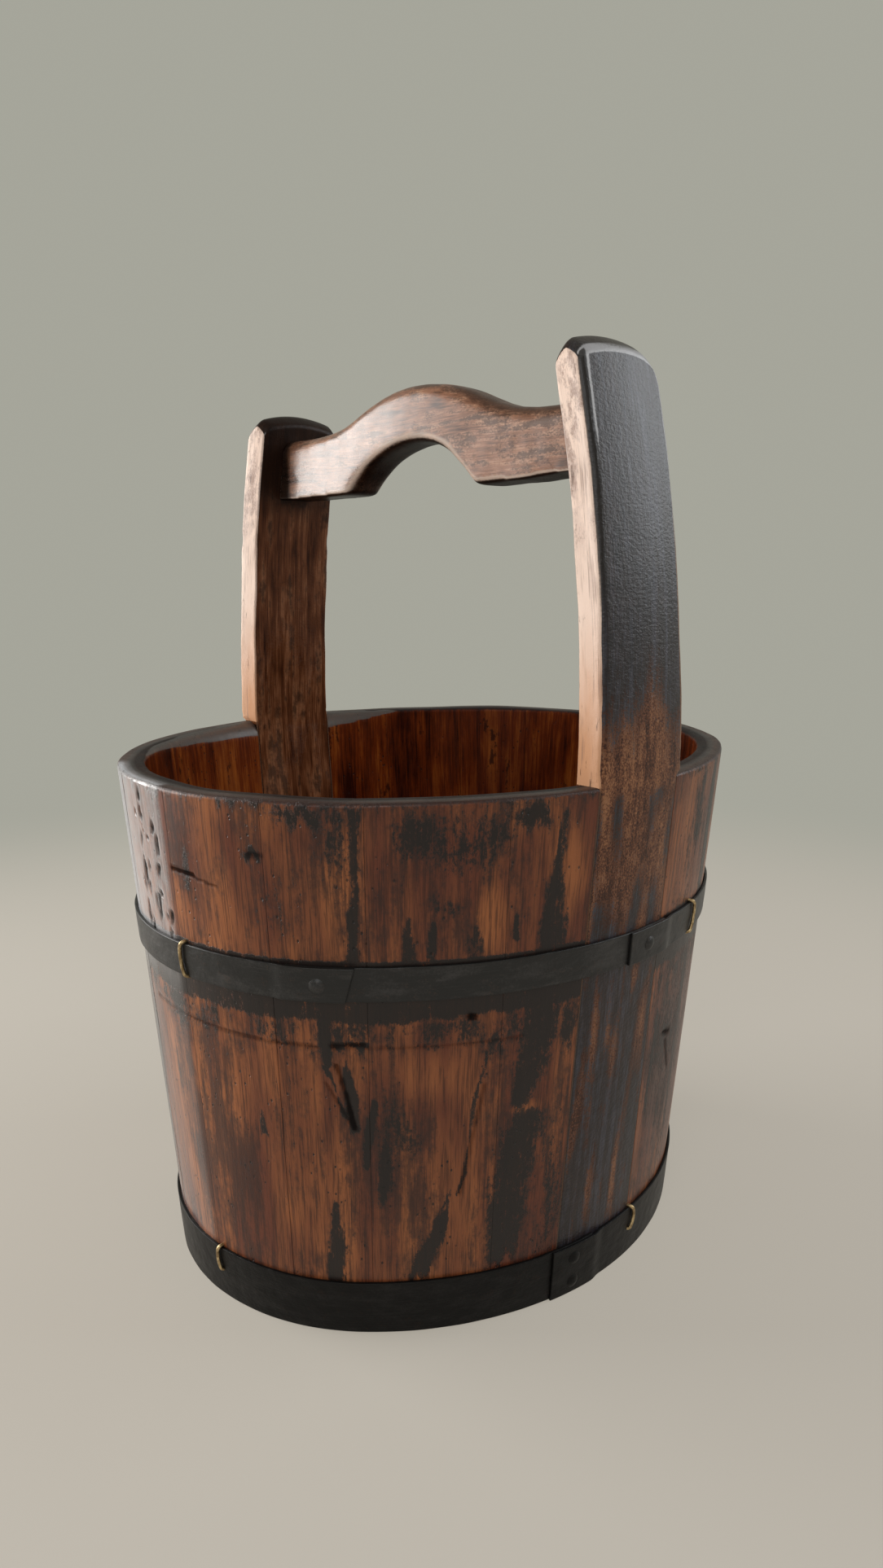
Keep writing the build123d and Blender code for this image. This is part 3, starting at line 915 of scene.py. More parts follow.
@dataclass
class TallStave:
    """Tall stave that bows inwards above the rim and ends in a hipped, crowned top."""

    name: str
    end: End
    seed: float
    easing: EdgeEasing
    step: float = 1.6 * MM
    wall_ease: float = 0.5 * MM
    foot_ease: float = FOOT_EASE
    crown_ease: float = 1.8 * MM
    hip_drop: float = 6.5 * MM
    flare: float = 0.0
    splay: float = 0.0
    coat_places: tuple[float, ...] = (-30, -12, -5, 3, 10, 18, 30)
    coat_heights: tuple[float, ...] = (322, 318, 330, 344, 338, 320, 306)

    def build(self, finish: bpy.types.Material) -> bpy.types.Object:
        """Makes the tall stave.

        Args:
            finish: Its material.

        Returns:
            The piece.
        """
        shape = UPRIGHTS[self.end]
        edge_lines = (0.4 * MM, 0.9 * MM, 1.6 * MM, 2.5 * MM, 3.6 * MM)
        across = grid_lines(shape.width, self.step, edge_lines)
        through = grid_lines(shape.thickness, 2 * MM, edge_lines)
        along = grid_lines(shape.shoulder, self.step, edge_lines)
        mesh = Board(across, through, along).mesh(self.name)
        board = read_points(mesh)
        across, depth, height, side = self.outline(shape, board)
        across, depth = self.wear(across, depth, height)
        write_vectors(mesh, "place", np.column_stack((across, depth, height)))
        write_values(mesh, "cover", self.cover(across, height))
        write_values(mesh, "brink", self.brink(shape, board))
        write_values(mesh, "chamfer", self.chamfer(board))
        write_values(mesh, "seed", self.seed)
        write_values(mesh, "side", side)
        write_values(mesh, "crown", -shape.shoulder * np.ones_like(side))
        facing = self.end.value
        across = across - facing * shape.offset
        level = WALL.side_centre + shape.reach(height, 0.0)
        outer_reach = np.sqrt(level**2 - across**2) - WALL.side_centre
        inner_reach = shape.reach(height, shape.thickness)
        reach = outer_reach + (inner_reach - outer_reach) * depth / shape.thickness
        write_points(mesh, np.column_stack((-facing * across, facing * reach, height)))
        write_values(mesh, "edge", edge_wear(mesh))
        return add_piece(self.name, mesh, finish, "upright_wood", self.name)

    def eased(self, shape: TallStaveShape, board: np.ndarray) -> tuple[np.ndarray, np.ndarray, np.ndarray]:
        """Rounds the straight board's edges, raggedly above the rim.

        Args:
            shape: The stave's sizes.
            board: Vertices of the straight board.

        Returns:
            Places across the board, depths and heights.
        """
        across, depth, height = board.T.copy()
        above_rim = smooth(height, WALL.height - 6 * MM, WALL.height + 8 * MM)
        ragged = 1 + 0.35 * ripple(height, across, (38 * MM, 900 * MM), self.seed)
        ragged += 0.8 * smooth(ripple(height, across, (15 * MM, 900 * MM), self.seed + 3.3), 0.3, 0.6)
        left, right = across.copy(), shape.width - across
        above, below = shape.shoulder - height, height.copy()
        outside, inside = depth.copy(), shape.thickness - depth
        easing = self.easing
        for edge, face, radius in ((left, outside, easing.outer_left), (right, outside, easing.outer_right),
                                   (left, inside, easing.inner_left), (right, inside, easing.inner_right)):
            round_corner(edge, face, self.wall_ease + (radius * ragged - self.wall_ease) * above_rim)
        for face in (outside, inside):
            round_corner(above, face, self.crown_ease)
            round_corner(below, face, self.foot_ease)
        round_corner(left, above, easing.corner_left)
        round_corner(right, above, easing.corner_right)
        across = left + (shape.width - right) - across
        height = below + (shape.shoulder - above) - height
        depth = outside + (shape.thickness - inside) - depth
        return across, depth, height

    def outline(self, shape: TallStaveShape,
                board: np.ndarray) -> tuple[np.ndarray, np.ndarray, np.ndarray, np.ndarray]:
        """Gives the eased board the real outline of its front view.

        Args:
            shape: The stave's sizes.
            board: Vertices of the straight board.

        Returns:
            Places across the stave from its own middle line, depths, heights, and the narrow sides: 1 on them
            above the rim and -1 in the seams below it.
        """
        across, depth, height = self.eased(shape, board)
        centred = across - shape.width / 2
        outwards = np.abs(centred) / (shape.width / 2)
        standing = smooth(height, WALL.height - 2 * MM, WALL.height + 1 * MM)
        side = standing * smooth(outwards, 0.962, 0.988) - (1 - standing) * smooth(outwards, 0.935, 0.970)
        climbed = np.clip((height - WALL.height) / (shape.shoulder - WALL.height), 0.0, 1.0)
        centred = centred * (1 - (1 - shape.top_width / shape.width) * climbed)
        clear = smooth(height, WALL.height, WALL.height + 1.5 * MM)
        flared = self.flare * (clear * (1 - smooth(height, WALL.height + 15 * MM, WALL.height + 95 * MM)))
        splayed = self.splay * clear * (1 - depth / shape.thickness)
        towards_edge = np.clip(2 * centred / shape.width, 0.0, 1.0)
        centred = centred + flared * towards_edge**3 + splayed * towards_edge
        bulge = 1 - (2 * centred / shape.width) ** 2
        top = smooth(height, shape.shoulder - 50 * MM, shape.shoulder)
        hip = self.hip_drop * (2 * np.abs(depth / shape.thickness - 0.5)) ** 1.4
        return centred, depth, height + top * (shape.crown_rise * bulge - hip - 0.05 * MM), side

    def cover(self, across: np.ndarray, height: np.ndarray) -> np.ndarray:
        """Cover of the black coat on the outer face: whole above, broken from the rim down.

        Args:
            across: Places across the stave.
            height: Heights above the base.

        Returns:
            The cover at each place, 0 to 1.
        """
        edge = np.interp(across / MM, self.coat_places, self.coat_heights) * MM
        edge = edge + 12 * MM * ripple(across, height, (8 * MM, 30 * MM), self.seed + 2.8)
        broken, whole = smooth(height, edge - 45 * MM, edge + 6 * MM), smooth(height, edge - 8 * MM, edge + 50 * MM)
        patches = 0.42 + 0.8 * ripple(across, height, (9 * MM, 44 * MM), self.seed + 6.2)
        lower = np.clip(patches, 0.15, 0.72) * (1 - smooth(height, WALL.height - 8 * MM, WALL.height + 4 * MM))
        streaks = 0.66 + 0.6 * ripple(across, height, (7 * MM, 60 * MM), self.seed + 3.9)
        under = streaks * (1 - smooth(height, HOOPS.middle_high - 11 * MM, HOOPS.middle_high + 15 * MM))
        return np.clip(np.max((0.45 * broken + 0.55 * whole, lower, under), axis=0), 0.0, 1.0)

    def brink(self, shape: TallStaveShape, board: np.ndarray) -> np.ndarray:
        """Painted highlight along the brink of the outer face: its top, its right edge and the upper part of its
        left chamfer.

        Args:
            shape: The stave's sizes.
            board: Vertices of the straight board.

        Returns:
            1 on the brink, 0 away from it.
        """
        across, depth, height = board.T
        away = np.minimum(shape.width - across, shape.shoulder - height)
        left = smooth(height, 430 * MM, 475 * MM) * (1 - smooth(np.abs(across - 5.2 * MM), 0.4 * MM, 1.4 * MM))
        brink = np.maximum(1 - smooth(away, 1.2 * MM, 3.2 * MM), left) * (1 - smooth(depth, 1.5 * MM, 3.5 * MM))
        return brink * smooth(height, WALL.height, WALL.height + 20 * MM)

    def chamfer(self, board: np.ndarray) -> np.ndarray:
        """The chamfer between the outer face and the left side, where shade is painted.

        Args:
            board: Vertices of the straight board.

        Returns:
            1 on the chamfer, 0 away from it.
        """
        across, depth, height = board.T
        chamfer = (1 - smooth(across, 3.0 * MM, 4.6 * MM)) * (1 - smooth(depth, 0.7 * MM, 1.8 * MM))
        chamfer *= 0.25 + 0.75 * smooth(height, 350 * MM, 430 * MM)
        return chamfer * smooth(height, WALL.height, WALL.height + 30 * MM)

    def wear(self, across: np.ndarray, depth: np.ndarray, height: np.ndarray) -> tuple[np.ndarray, np.ndarray]:
        """Slight waves of hand-planed faces, all within the solid's outer face.

        Args:
            across: Places across the stave.
            depth: Depths under the outer face.
            height: Heights above the base.

        Returns:
            The places across and the depths, worn.
        """
        above = smooth(height, WALL.height, WALL.height + 10 * MM)
        out = 0.25 * MM * ripple(across, height, (24 * MM, 60 * MM), self.seed + 1.7)
        out += 0.2 * MM * above * ripple(across, height, (9 * MM, 14 * MM), self.seed + 9.1)
        sway = above * 0.5 * MM * ripple(height, depth, (45 * MM, 300 * MM), self.seed + 7.9)
        sway += above * 0.25 * MM * ripple(height, depth, (12 * MM, 9 * MM), self.seed + 5.5)
        return across + sway, np.maximum(depth + out, 0.03 * MM)


@dataclass
class CarryHandle:
    """Carved crossbar: a copy of its solid, dressed to an even skin and then hewn and worn."""

    node: str = "carry_handle"
    voxel: float = 1.0 * MM
    smoothings: int = 4
    crest_smoothings: int = 14
    crest_half: float = 112 * MM
    arch_smoothings: int = 34
    arch_half: float = 82 * MM
    arch_top: float = 474 * MM
    arch_shift: float = 10 * MM
    shift_span: tuple[float, float, float] = (-112 * MM, -60 * MM, -8 * MM)
    shift_heights: tuple[float, float] = (455 * MM, 482 * MM)
    near_lift: float = 4 * MM
    lift_span: tuple[float, float] = (50 * MM, 140 * MM)
    lift_heights: tuple[float, float] = (440 * MM, 472 * MM)

    def build(self, finish: bpy.types.Material) -> bpy.types.Object:
        """Makes the handle.

        Args:
            finish: Its material.

        Returns:
            The piece.
        """
        mesh = self.dressed()
        places = read_points(mesh)
        along, up = places[:, 1].copy(), places[:, 2].copy()
        first, middle, last = self.shift_span
        shifted = smooth(along, first, middle) * (1 - smooth(along, middle, last))
        places[:, 1] += self.arch_shift * shifted * (1 - smooth(up, *self.shift_heights))
        lifted = smooth(-along, *self.lift_span)
        places[:, 2] += self.near_lift * lifted * (1 - smooth(up, *self.lift_heights))
        write_points(mesh, places)
        normals = np.empty(len(mesh.vertices) * 3)
        mesh.vertices.foreach_get("normal", normals)
        along, up = places[:, 1], places[:, 2]
        hewn = 0.45 * MM * ripple(along, up, (26 * MM, 17 * MM), 1.3)
        hewn += 0.18 * MM * ripple(along, up, (9 * MM, 7 * MM), 5.9)
        places += normals.reshape(-1, 3) * hewn[:, None]
        write_points(mesh, places)
        write_values(mesh, "edge", edge_wear(mesh))
        # How far each face looks down, for the painted shade under the handle
        write_values(mesh, "under", np.maximum(0.0, -normals.reshape(-1, 3)[:, 2]))
        write_values(mesh, "crest", np.maximum(0.0, normals.reshape(-1, 3)[:, 2]) * smooth(-along, 0.0, 60 * MM))
        return add_piece(self.node, mesh, finish, "handle_wood", self.node)

    def dressed(self) -> bpy.types.Mesh:
        """Lays an even skin of small quads over the handle's solid and softens its edges.

        Returns:
            The skin.
        """
        shape = bmesh.new()
        shape.from_mesh(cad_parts[self.node].data)
        bmesh.ops.remove_doubles(shape, verts=shape.verts, dist=0.001 * MM)
        rough = bpy.data.meshes.new("handle_rough")
        shape.to_mesh(rough)
        shape.free()
        blank = bpy.data.objects.new("handle_blank", rough)
        bpy.context.scene.collection.objects.link(blank)
        remesh = blank.modifiers.new("skin", "REMESH")
        remesh.mode = "VOXEL"
        remesh.voxel_size = self.voxel
        skin = bpy.data.meshes.new_from_object(blank.evaluated_get(bpy.context.evaluated_depsgraph_get()))
        bpy.data.objects.remove(blank)
        shape = bmesh.new()
        shape.from_mesh(skin)
        crest = [vert for vert in shape.verts if abs(vert.co.y) < self.crest_half]
        arch = [vert for vert in crest if abs(vert.co.y) < self.arch_half and vert.co.z < self.arch_top]
        rounds = ((shape.verts, self.smoothings), (crest, self.crest_smoothings), (arch, self.arch_smoothings))
        for verts, passes in rounds:
            for _ in range(passes):
                bmesh.ops.smooth_vert(shape, verts=verts, factor=0.5, use_axis_x=True, use_axis_y=True,
                                      use_axis_z=True)
        shape.to_mesh(skin)
        shape.free()
        return skin


@dataclass
class BottomBoard:
    """One of the boards of the tub's bottom: a slice of the oval with eased edges."""

    name: str
    start: float
    finish: float
    low: float = 16 * MM
    thickness: float = 12 * MM
    inset: float = 32.75 * MM
    ease: float = 0.7 * MM
    segments: int = 240

    def build(self, finish: bpy.types.Material) -> bpy.types.Object:
        """Makes the board.

        Args:
            finish: Its material.

        Returns:
            The piece.
        """
        shape = bmesh.new()
        bmesh.ops.create_circle(shape, cap_ends=True, segments=self.segments, radius=1.0)
        arcs = np.array([math.atan2(vert.co.x, -vert.co.y) for vert in shape.verts]) / math.pi * WALL.half_round
        spots, outward = WALL.stations(arcs)
        for vert, spot in zip(shape.verts, spots - outward * self.inset):
            vert.co = Vector((spot[0], spot[1], self.low))
        for place, facing in ((self.start, 1), (self.finish, -1)):
            everything = [*shape.verts, *shape.edges, *shape.faces]
            bmesh.ops.bisect_plane(shape, geom=everything, plane_co=(0, place, 0), plane_no=(0, -facing, 0),
                                   clear_outer=True)
        bmesh.ops.recalc_face_normals(shape, faces=shape.faces)
        raised = bmesh.ops.extrude_face_region(shape, geom=list(shape.faces))["geom"]
        bmesh.ops.translate(shape, verts=[part for part in raised if isinstance(part, bmesh.types.BMVert)],
                            vec=(0, 0, self.thickness))
        bmesh.ops.recalc_face_normals(shape, faces=shape.faces)
        sharp = [edge for edge in shape.edges if edge.calc_face_angle(0.0) > math.radians(50)]
        bmesh.ops.bevel(shape, geom=sharp, offset=self.ease, segments=2, profile=0.5, affect="EDGES", material=-1)
        mesh = bpy.data.meshes.new(self.name)
        shape.to_mesh(mesh)
        shape.free()
        piece = add_piece(self.name, mesh, finish, "board_wood", self.name)
        mesh.set_sharp_from_angle(angle=math.radians(30))
        return piece


# Iron and brass


@dataclass
class Strap:
    """Iron strap: a thin board eased along its edges and bent round the wall."""

    name: str
    start: float
    finish: float
    low: float
    high: float
    layer: Callable[[np.ndarray], np.ndarray]
    slant: float = 0.0
    thickness: float = 1.6 * MM
    seat: float = 0.1 * MM
    ease: float = 0.35 * MM
    step: float = 2.2 * MM
    wave: float = 0.5 * MM

    def build(self, finish: bpy.types.Material) -> bpy.types.Object:
        """Makes the strap.

        Args:
            finish: Its material.

        Returns:
            The piece.
        """
        length, width = self.finish - self.start, self.high - self.low
        edge_lines = (0.25 * MM, 0.6 * MM, 1.2 * MM)
        through = np.array((0.0, 0.3, 0.8, 1.3, 1.6)) * MM
        along, across = (grid_lines(extent, self.step, edge_lines) for extent in (length, width))
        mesh = Board(along, through, across).mesh(self.name)
        across, depth, height = read_points(mesh).T.copy()
        left, right = across.copy(), length - across
        below, above = height.copy(), width - height
        outside = depth.copy()
        for edge in (left, right, below, above):
            round_corner(edge, outside, self.ease)
        across = left + (length - right) - across
        height = below + (width - above) - height
        arc = self.start + across
        rise = height / width
        dents = 0.16 * MM * ripple(arc, height, (16 * MM, 12 * MM), 2.9)
        depth = outside - self.thickness - self.seat - self.thickness * self.layer(arc)
        depth = depth - np.maximum(dents, -0.05 * MM) * (1 - outside / self.thickness)
        height = self.low + height
        height = height + self.wave * ripple(arc, rise, (60 * MM, 1.2), 4.1) * (0.4 + 0.6 * rise)
        height = height + 0.4 * self.wave * ripple(arc, rise, (13 * MM, 0.8), 7.7) * rise
        arc = arc + self.slant * (rise - 0.5) * (1 - smooth(length - across, 0.0, 60 * MM))
        height = np.maximum(height, 0.3 * MM)
        write_vectors(mesh, "place", np.column_stack((arc, depth, height)))
        # Distance from the strap's edges, for the painted shade along them
        write_values(mesh, "rim", np.minimum(np.minimum(left, right), np.minimum(below, above)))
        write_points(mesh, WALL.bend(arc, depth, height))
        return add_piece(self.name, mesh, finish, "hoop_iron", self.name)


@dataclass(frozen=True)
class HoopSizes:
    """Heights and laps of the two hoops."""

    middle_low: float = 193 * MM
    middle_high: float = 211 * MM
    bottom_low: float = 0.5 * MM
    bottom_high: float = 31 * MM
    lap: float = 33 * MM
    lap_root: float = 10 * MM
    butt_gap: float = 0.6 * MM
    splice_left: float = -157 * MM
    splice_right: float = 1 * MM
    bottom_end: float = -37 * MM


HOOPS = HoopSizes()


def hoop_straps() -> list[Strap]:
    """Sets out the three straps of the two hoops, each with the layer that its ends lap on.

    Returns:
        The straps.
    """
    whole = 2 * WALL.half_round
    long_start = HOOPS.splice_right
    long_finish = whole + HOOPS.splice_left
    step_up = HOOPS.lap + HOOPS.lap_root

    def over_ends(arc: np.ndarray) -> np.ndarray:
        """Layer of the long strap: on top of the splice at both of its ends."""
        from_end = np.minimum(arc - long_start, long_finish - arc)
        return 1 - smooth(from_end, HOOPS.lap, step_up)

    def flat(arc: np.ndarray) -> np.ndarray:
        """Layer of a strap that lies on the staves."""
        return np.zeros_like(arc)

    def over_start(arc: np.ndarray) -> np.ndarray:
        """Layer of the bottom strap: on top of itself at its start."""
        return 1 - smooth(arc - HOOPS.bottom_end, HOOPS.lap, step_up)

    bottom_finish = whole + HOOPS.bottom_end + HOOPS.lap - HOOPS.butt_gap
    return [
        Strap("middle_hoop_long_strap", long_start, long_finish, HOOPS.middle_low, HOOPS.middle_high, over_ends,
              slant=5 * MM),
        Strap("middle_hoop_splice_strap", HOOPS.splice_left - HOOPS.lap, HOOPS.splice_right + HOOPS.lap,
              HOOPS.middle_low, HOOPS.middle_high, flat),
        Strap("bottom_hoop_strap", HOOPS.bottom_end, bottom_finish, HOOPS.bottom_low, HOOPS.bottom_high,
              over_start),
    ]


@dataclass(frozen=True)
class Staple:
    """Brass wire staple over a hoop: its place along the rim, heights of its legs and how far it sways."""

    arc: float
    low: float
    high: float
    sway: float

    def route(self) -> np.ndarray:
        """Sets out the wire, from one leg's tip to the other's.

        Returns:
            Points that guide it, as an (n, 3) array.
        """
        top, foot = self.high, self.low
        middle = (top + foot) / 2
        sway = self.sway
        along = np.array((0.4, 0.4, 0.0, -0.9, -1.1, -0.5, 0.7, 0.9)) * sway
        height = np.array((top + 1.2 * MM, top + 1.2 * MM, top + 0.6 * MM, top - 3 * MM, middle, foot + 3 * MM,
                           foot - 0.5 * MM, foot - 1.0 * MM))
        outside = np.array((-8.0, 0.4, 3.0, 3.0, 2.9, 3.0, 2.6, -8.0)) * MM
        return WALL.bend(self.arc + along, -outside, height)


@dataclass
class StapleSet:
    """The four staples of one hoop."""

    hoop: Hoop
    arcs: Sequence[float]
    low: float
    high: float
    wire: float = 2.0 * MM

    def build(self, finish: bpy.types.Material) -> bpy.types.Object:
        """Makes the staples as wires along smooth curves.

        Args:
            finish: Their material.

        Returns:
            The piece.
        """
        curve = bpy.data.curves.new("staple_wire", "CURVE")
        curve.dimensions = "3D"
        curve.bevel_depth = self.wire / 2
        curve.bevel_resolution = 3
        curve.use_fill_caps = True
        for number, arc in enumerate(self.arcs):
            sway = (1.6 + 0.8 * math.sin(number * 2.1)) * MM * (-1) ** (number % 2)
            points = Staple(arc * MM, self.low, self.high, sway).route()
            spline = curve.splines.new("NURBS")
            spline.points.add(len(points) - 1)
            for point, spot in zip(spline.points, points):
                point.co = (*spot, 1.0)
            spline.order_u = 3
            spline.use_endpoint_u = True
            spline.resolution_u = 6
        wires = bpy.data.objects.new("staple_wires", curve)
        bpy.context.scene.collection.objects.link(wires)
        mesh = bpy.data.meshes.new_from_object(wires.evaluated_get(bpy.context.evaluated_depsgraph_get()))
        bpy.data.objects.remove(wires)
        node = f"{self.hoop.value}_hoop_staples"
        mesh.name = node
        return add_piece(node, mesh, finish, "brass_wire", node)


# Finishes


class Graph:
    """A material's node tree, with one short method for each kind of node that the finishes use."""

    bloom_roughness: float = 0.4
    bloom_tint: Colour = (0.94, 0.97, 1.0)

    def __init__(self, name: str) -> None:
        """Starts an empty material.

        Args:
            name: Its name.
        """
        self.material = bpy.data.materials.new(name)
        self.material.use_nodes = True
        self.tree = self.material.node_tree
        self.tree.nodes.clear()

    def feed(self, socket: Socket, value: Feed) -> None:
        """Links an input to an output, or sets its value.

        Args:
            socket: The input.
            value: An output, a number, or the parts of a vector or colour.
        """
        if isinstance(value, Socket):
            self.tree.links.new(value, socket)
        elif isinstance(value, (int, float)):
            socket.default_value = value
        else:
            opaque = len(socket.default_value) == 4 and len(value) == 3
            socket.default_value = (*value, 1.0) if opaque else value

    def node(self, kind: str, feeds: Optional[Feeds] = None, **settings: object) -> bpy.types.Node:
        """Adds a node.

        Args:
            kind: Its type.
            feeds: What goes into its inputs, by their names or numbers.
            settings: Its properties.

        Returns:
            The node.
        """
        made = self.tree.nodes.new(kind)
        for key, value in settings.items():
            setattr(made, key, value)
        for key, value in (feeds or {}).items():
            self.feed(made.inputs[key], value)
        return made

    def value(self, name: str) -> Socket:
        """A number that a piece keeps for each vertex."""
        return self.node("ShaderNodeAttribute", attribute_name=name).outputs["Fac"]

    def vector(self, name: str) -> Socket:
        """A vector that a piece keeps for each vertex."""
        return self.node("ShaderNodeAttribute", attribute_name=name).outputs["Vector"]

    def object_place(self) -> Socket:
        """Object coordinates."""
        return self.node("ShaderNodeTexCoord").outputs["Object"]

    def part(self, vector: Socket, axis: str) -> Socket:
        """One part of a vector."""
        return self.node("ShaderNodeSeparateXYZ", {0: vector}).outputs[axis]

    def math(self, operation: str, first: Feed, second: Feed, clamp: bool = False) -> Socket:
        """Arithmetic on two numbers."""
        return self.node("ShaderNodeMath", {0: first, 1: second}, operation=operation, use_clamp=clamp).outputs[0]

    def times(self, first: Feed, second: Feed) -> Socket:
        """Product of two numbers."""
        return self.math("MULTIPLY", first, second)

    def shift(self, vector: Socket, amount: Socket, way: Sequence[float]) -> Socket:
        """A vector moved by an amount times a direction."""
        feeds = {0: amount, 1: way, 2: vector}
        return self.node("ShaderNodeVectorMath", feeds, operation="MULTIPLY_ADD").outputs[0]

    def waver(self, place: Socket, size: Sequence[float], amount: Sequence[float]) -> Socket:
        """A place moved to and fro by noise, by amounts in millimetres, so that grain isn't ruled straight."""
        drift = self.noise_node(place, size, 1.0, 0.5)
        return self.shift(place, drift.outputs["Color"], [extent * MM for extent in amount])

    def weigh(self, *parts: tuple[Socket, float], base: float = 0.0) -> Socket:
        """Adds up numbers.

        Args:
            parts: Each number with its weight.
            base: What is added to them.

        Returns:
            The sum.
        """
        total: Feed = base
        for value, weight in parts:
            feeds = {0: value, 1: weight, 2: total}
            total = self.node("ShaderNodeMath", feeds, operation="MULTIPLY_ADD").outputs[0]
        return total

    def scaled(self, place: Socket, size: Sequence[float]) -> Socket:
        """A place divided by a size in millimetres along each of its parts."""
        feeds = {0: place, 1: [1 / (extent * MM) for extent in size]}
        return self.node("ShaderNodeVectorMath", feeds, operation="MULTIPLY").outputs[0]

    def noise_node(self, place: Socket, size: Sequence[float], detail: float, roughness: float) -> bpy.types.Node:
        """The node behind noise and waver."""
        feeds = {"Vector": self.scaled(place, size), "Scale": 1.0, "Detail": detail, "Roughness": roughness}
        return self.node("ShaderNodeTexNoise", feeds)

    def noise(self, place: Socket, size: Sequence[float], detail: float = 3.0, roughness: float = 0.55) -> Socket:
        """Noise whose features have a size in millimetres along each part of a place."""
        return self.noise_node(place, size, detail, roughness).outputs["Fac"]

    def cells(self, place: Socket, size: Sequence[float]) -> Socket:
        """Distance from the nearest of many scattered points, a size in millimetres apart."""
        feeds = {"Vector": self.scaled(place, size), "Scale": 1.0}
        return self.node("ShaderNodeTexVoronoi", feeds).outputs["Distance"]

    def step(self, value: Feed, low: float, high: float) -> Socket:
        """Smooth step along a number.

        Args:
            value: The number.
            low: Where the step gives 0.
            high: Where it gives 1. It may lie below low.

        Returns:
            The step.
        """
        feeds = {"Value": value, "From Min": min(low, high), "From Max": max(low, high),
                 "To Min": float(low >= high), "To Max": float(low < high)}
        return self.node("ShaderNodeMapRange", feeds, interpolation_type="SMOOTHSTEP").outputs[0]

    def mix(self, share: Feed, first: Feed, second: Feed) -> Socket:
        """Mix of two colours, the second by a share."""
        return self.node("ShaderNodeMix", {0: share, 6: first, 7: second}, data_type="RGBA").outputs[2]

    def lay(self, under: Feed, over: Feed, share: Feed, strength: Feed) -> Socket:
        """A colour with another laid over it, by a share and a strength."""
        return self.mix(self.times(share, strength), under, over)

    def ramp(self, value: Socket, stops: Sequence[tuple[float, Colour]]) -> Socket:
        """Runs through colours along a number.

        Args:
            value: The number.
            stops: Each colour with the number at which it stands.

        Returns:
            The colour.
        """
        made = self.node("ShaderNodeValToRGB", {0: value})
        elements = made.color_ramp.elements
        while len(elements) < len(stops):
            elements.new(0.5)
        for element, (place, colour) in zip(elements, stops):
            element.position = place
            element.color = (*colour, 1.0)
        return made.outputs[0]

    def bump(self, height: Socket, distance: float, below: Optional[Socket] = None, strength: Feed = 1.0) -> Socket:
        """Raises the surface.

        Args:
            height: How high it stands at each place.
            distance: Length that a height of 1 means.
            below: Normal of the relief under it.
            strength: How far it shows.

        Returns:
            The normal.
        """
        feeds = {"Strength": strength, "Distance": distance, "Height": height}
        if below is not None:
            feeds["Normal"] = below
        return self.node("ShaderNodeBump", feeds).outputs[0]

    def surface(self, colour: Feed, roughness: Feed, normal: Socket, metallic: float = 0.0, specular: Feed = 0.5,
                bloom: Feed = 0.0) -> bpy.types.Material:
        """Closes the tree with its surface.

        Args:
            colour: Base colour.
            roughness: How matt it is.
            normal: Normal of its relief.
            metallic: 1 for bare metal.
            specular: Strength of its gloss.
            bloom: Strength of its pale sheen.

        Returns:
            The material.
        """
        shader = self.node("ShaderNodeBsdfPrincipled", {
            "Base Color": colour, "Roughness": roughness, "Normal": normal, "Metallic": metallic,
            "Specular IOR Level": specular, "Sheen Weight": bloom, "Sheen Roughness": self.bloom_roughness,
            "Sheen Tint": self.bloom_tint})
        self.node("ShaderNodeOutputMaterial", {0: shader.outputs[0]})
        return self.material


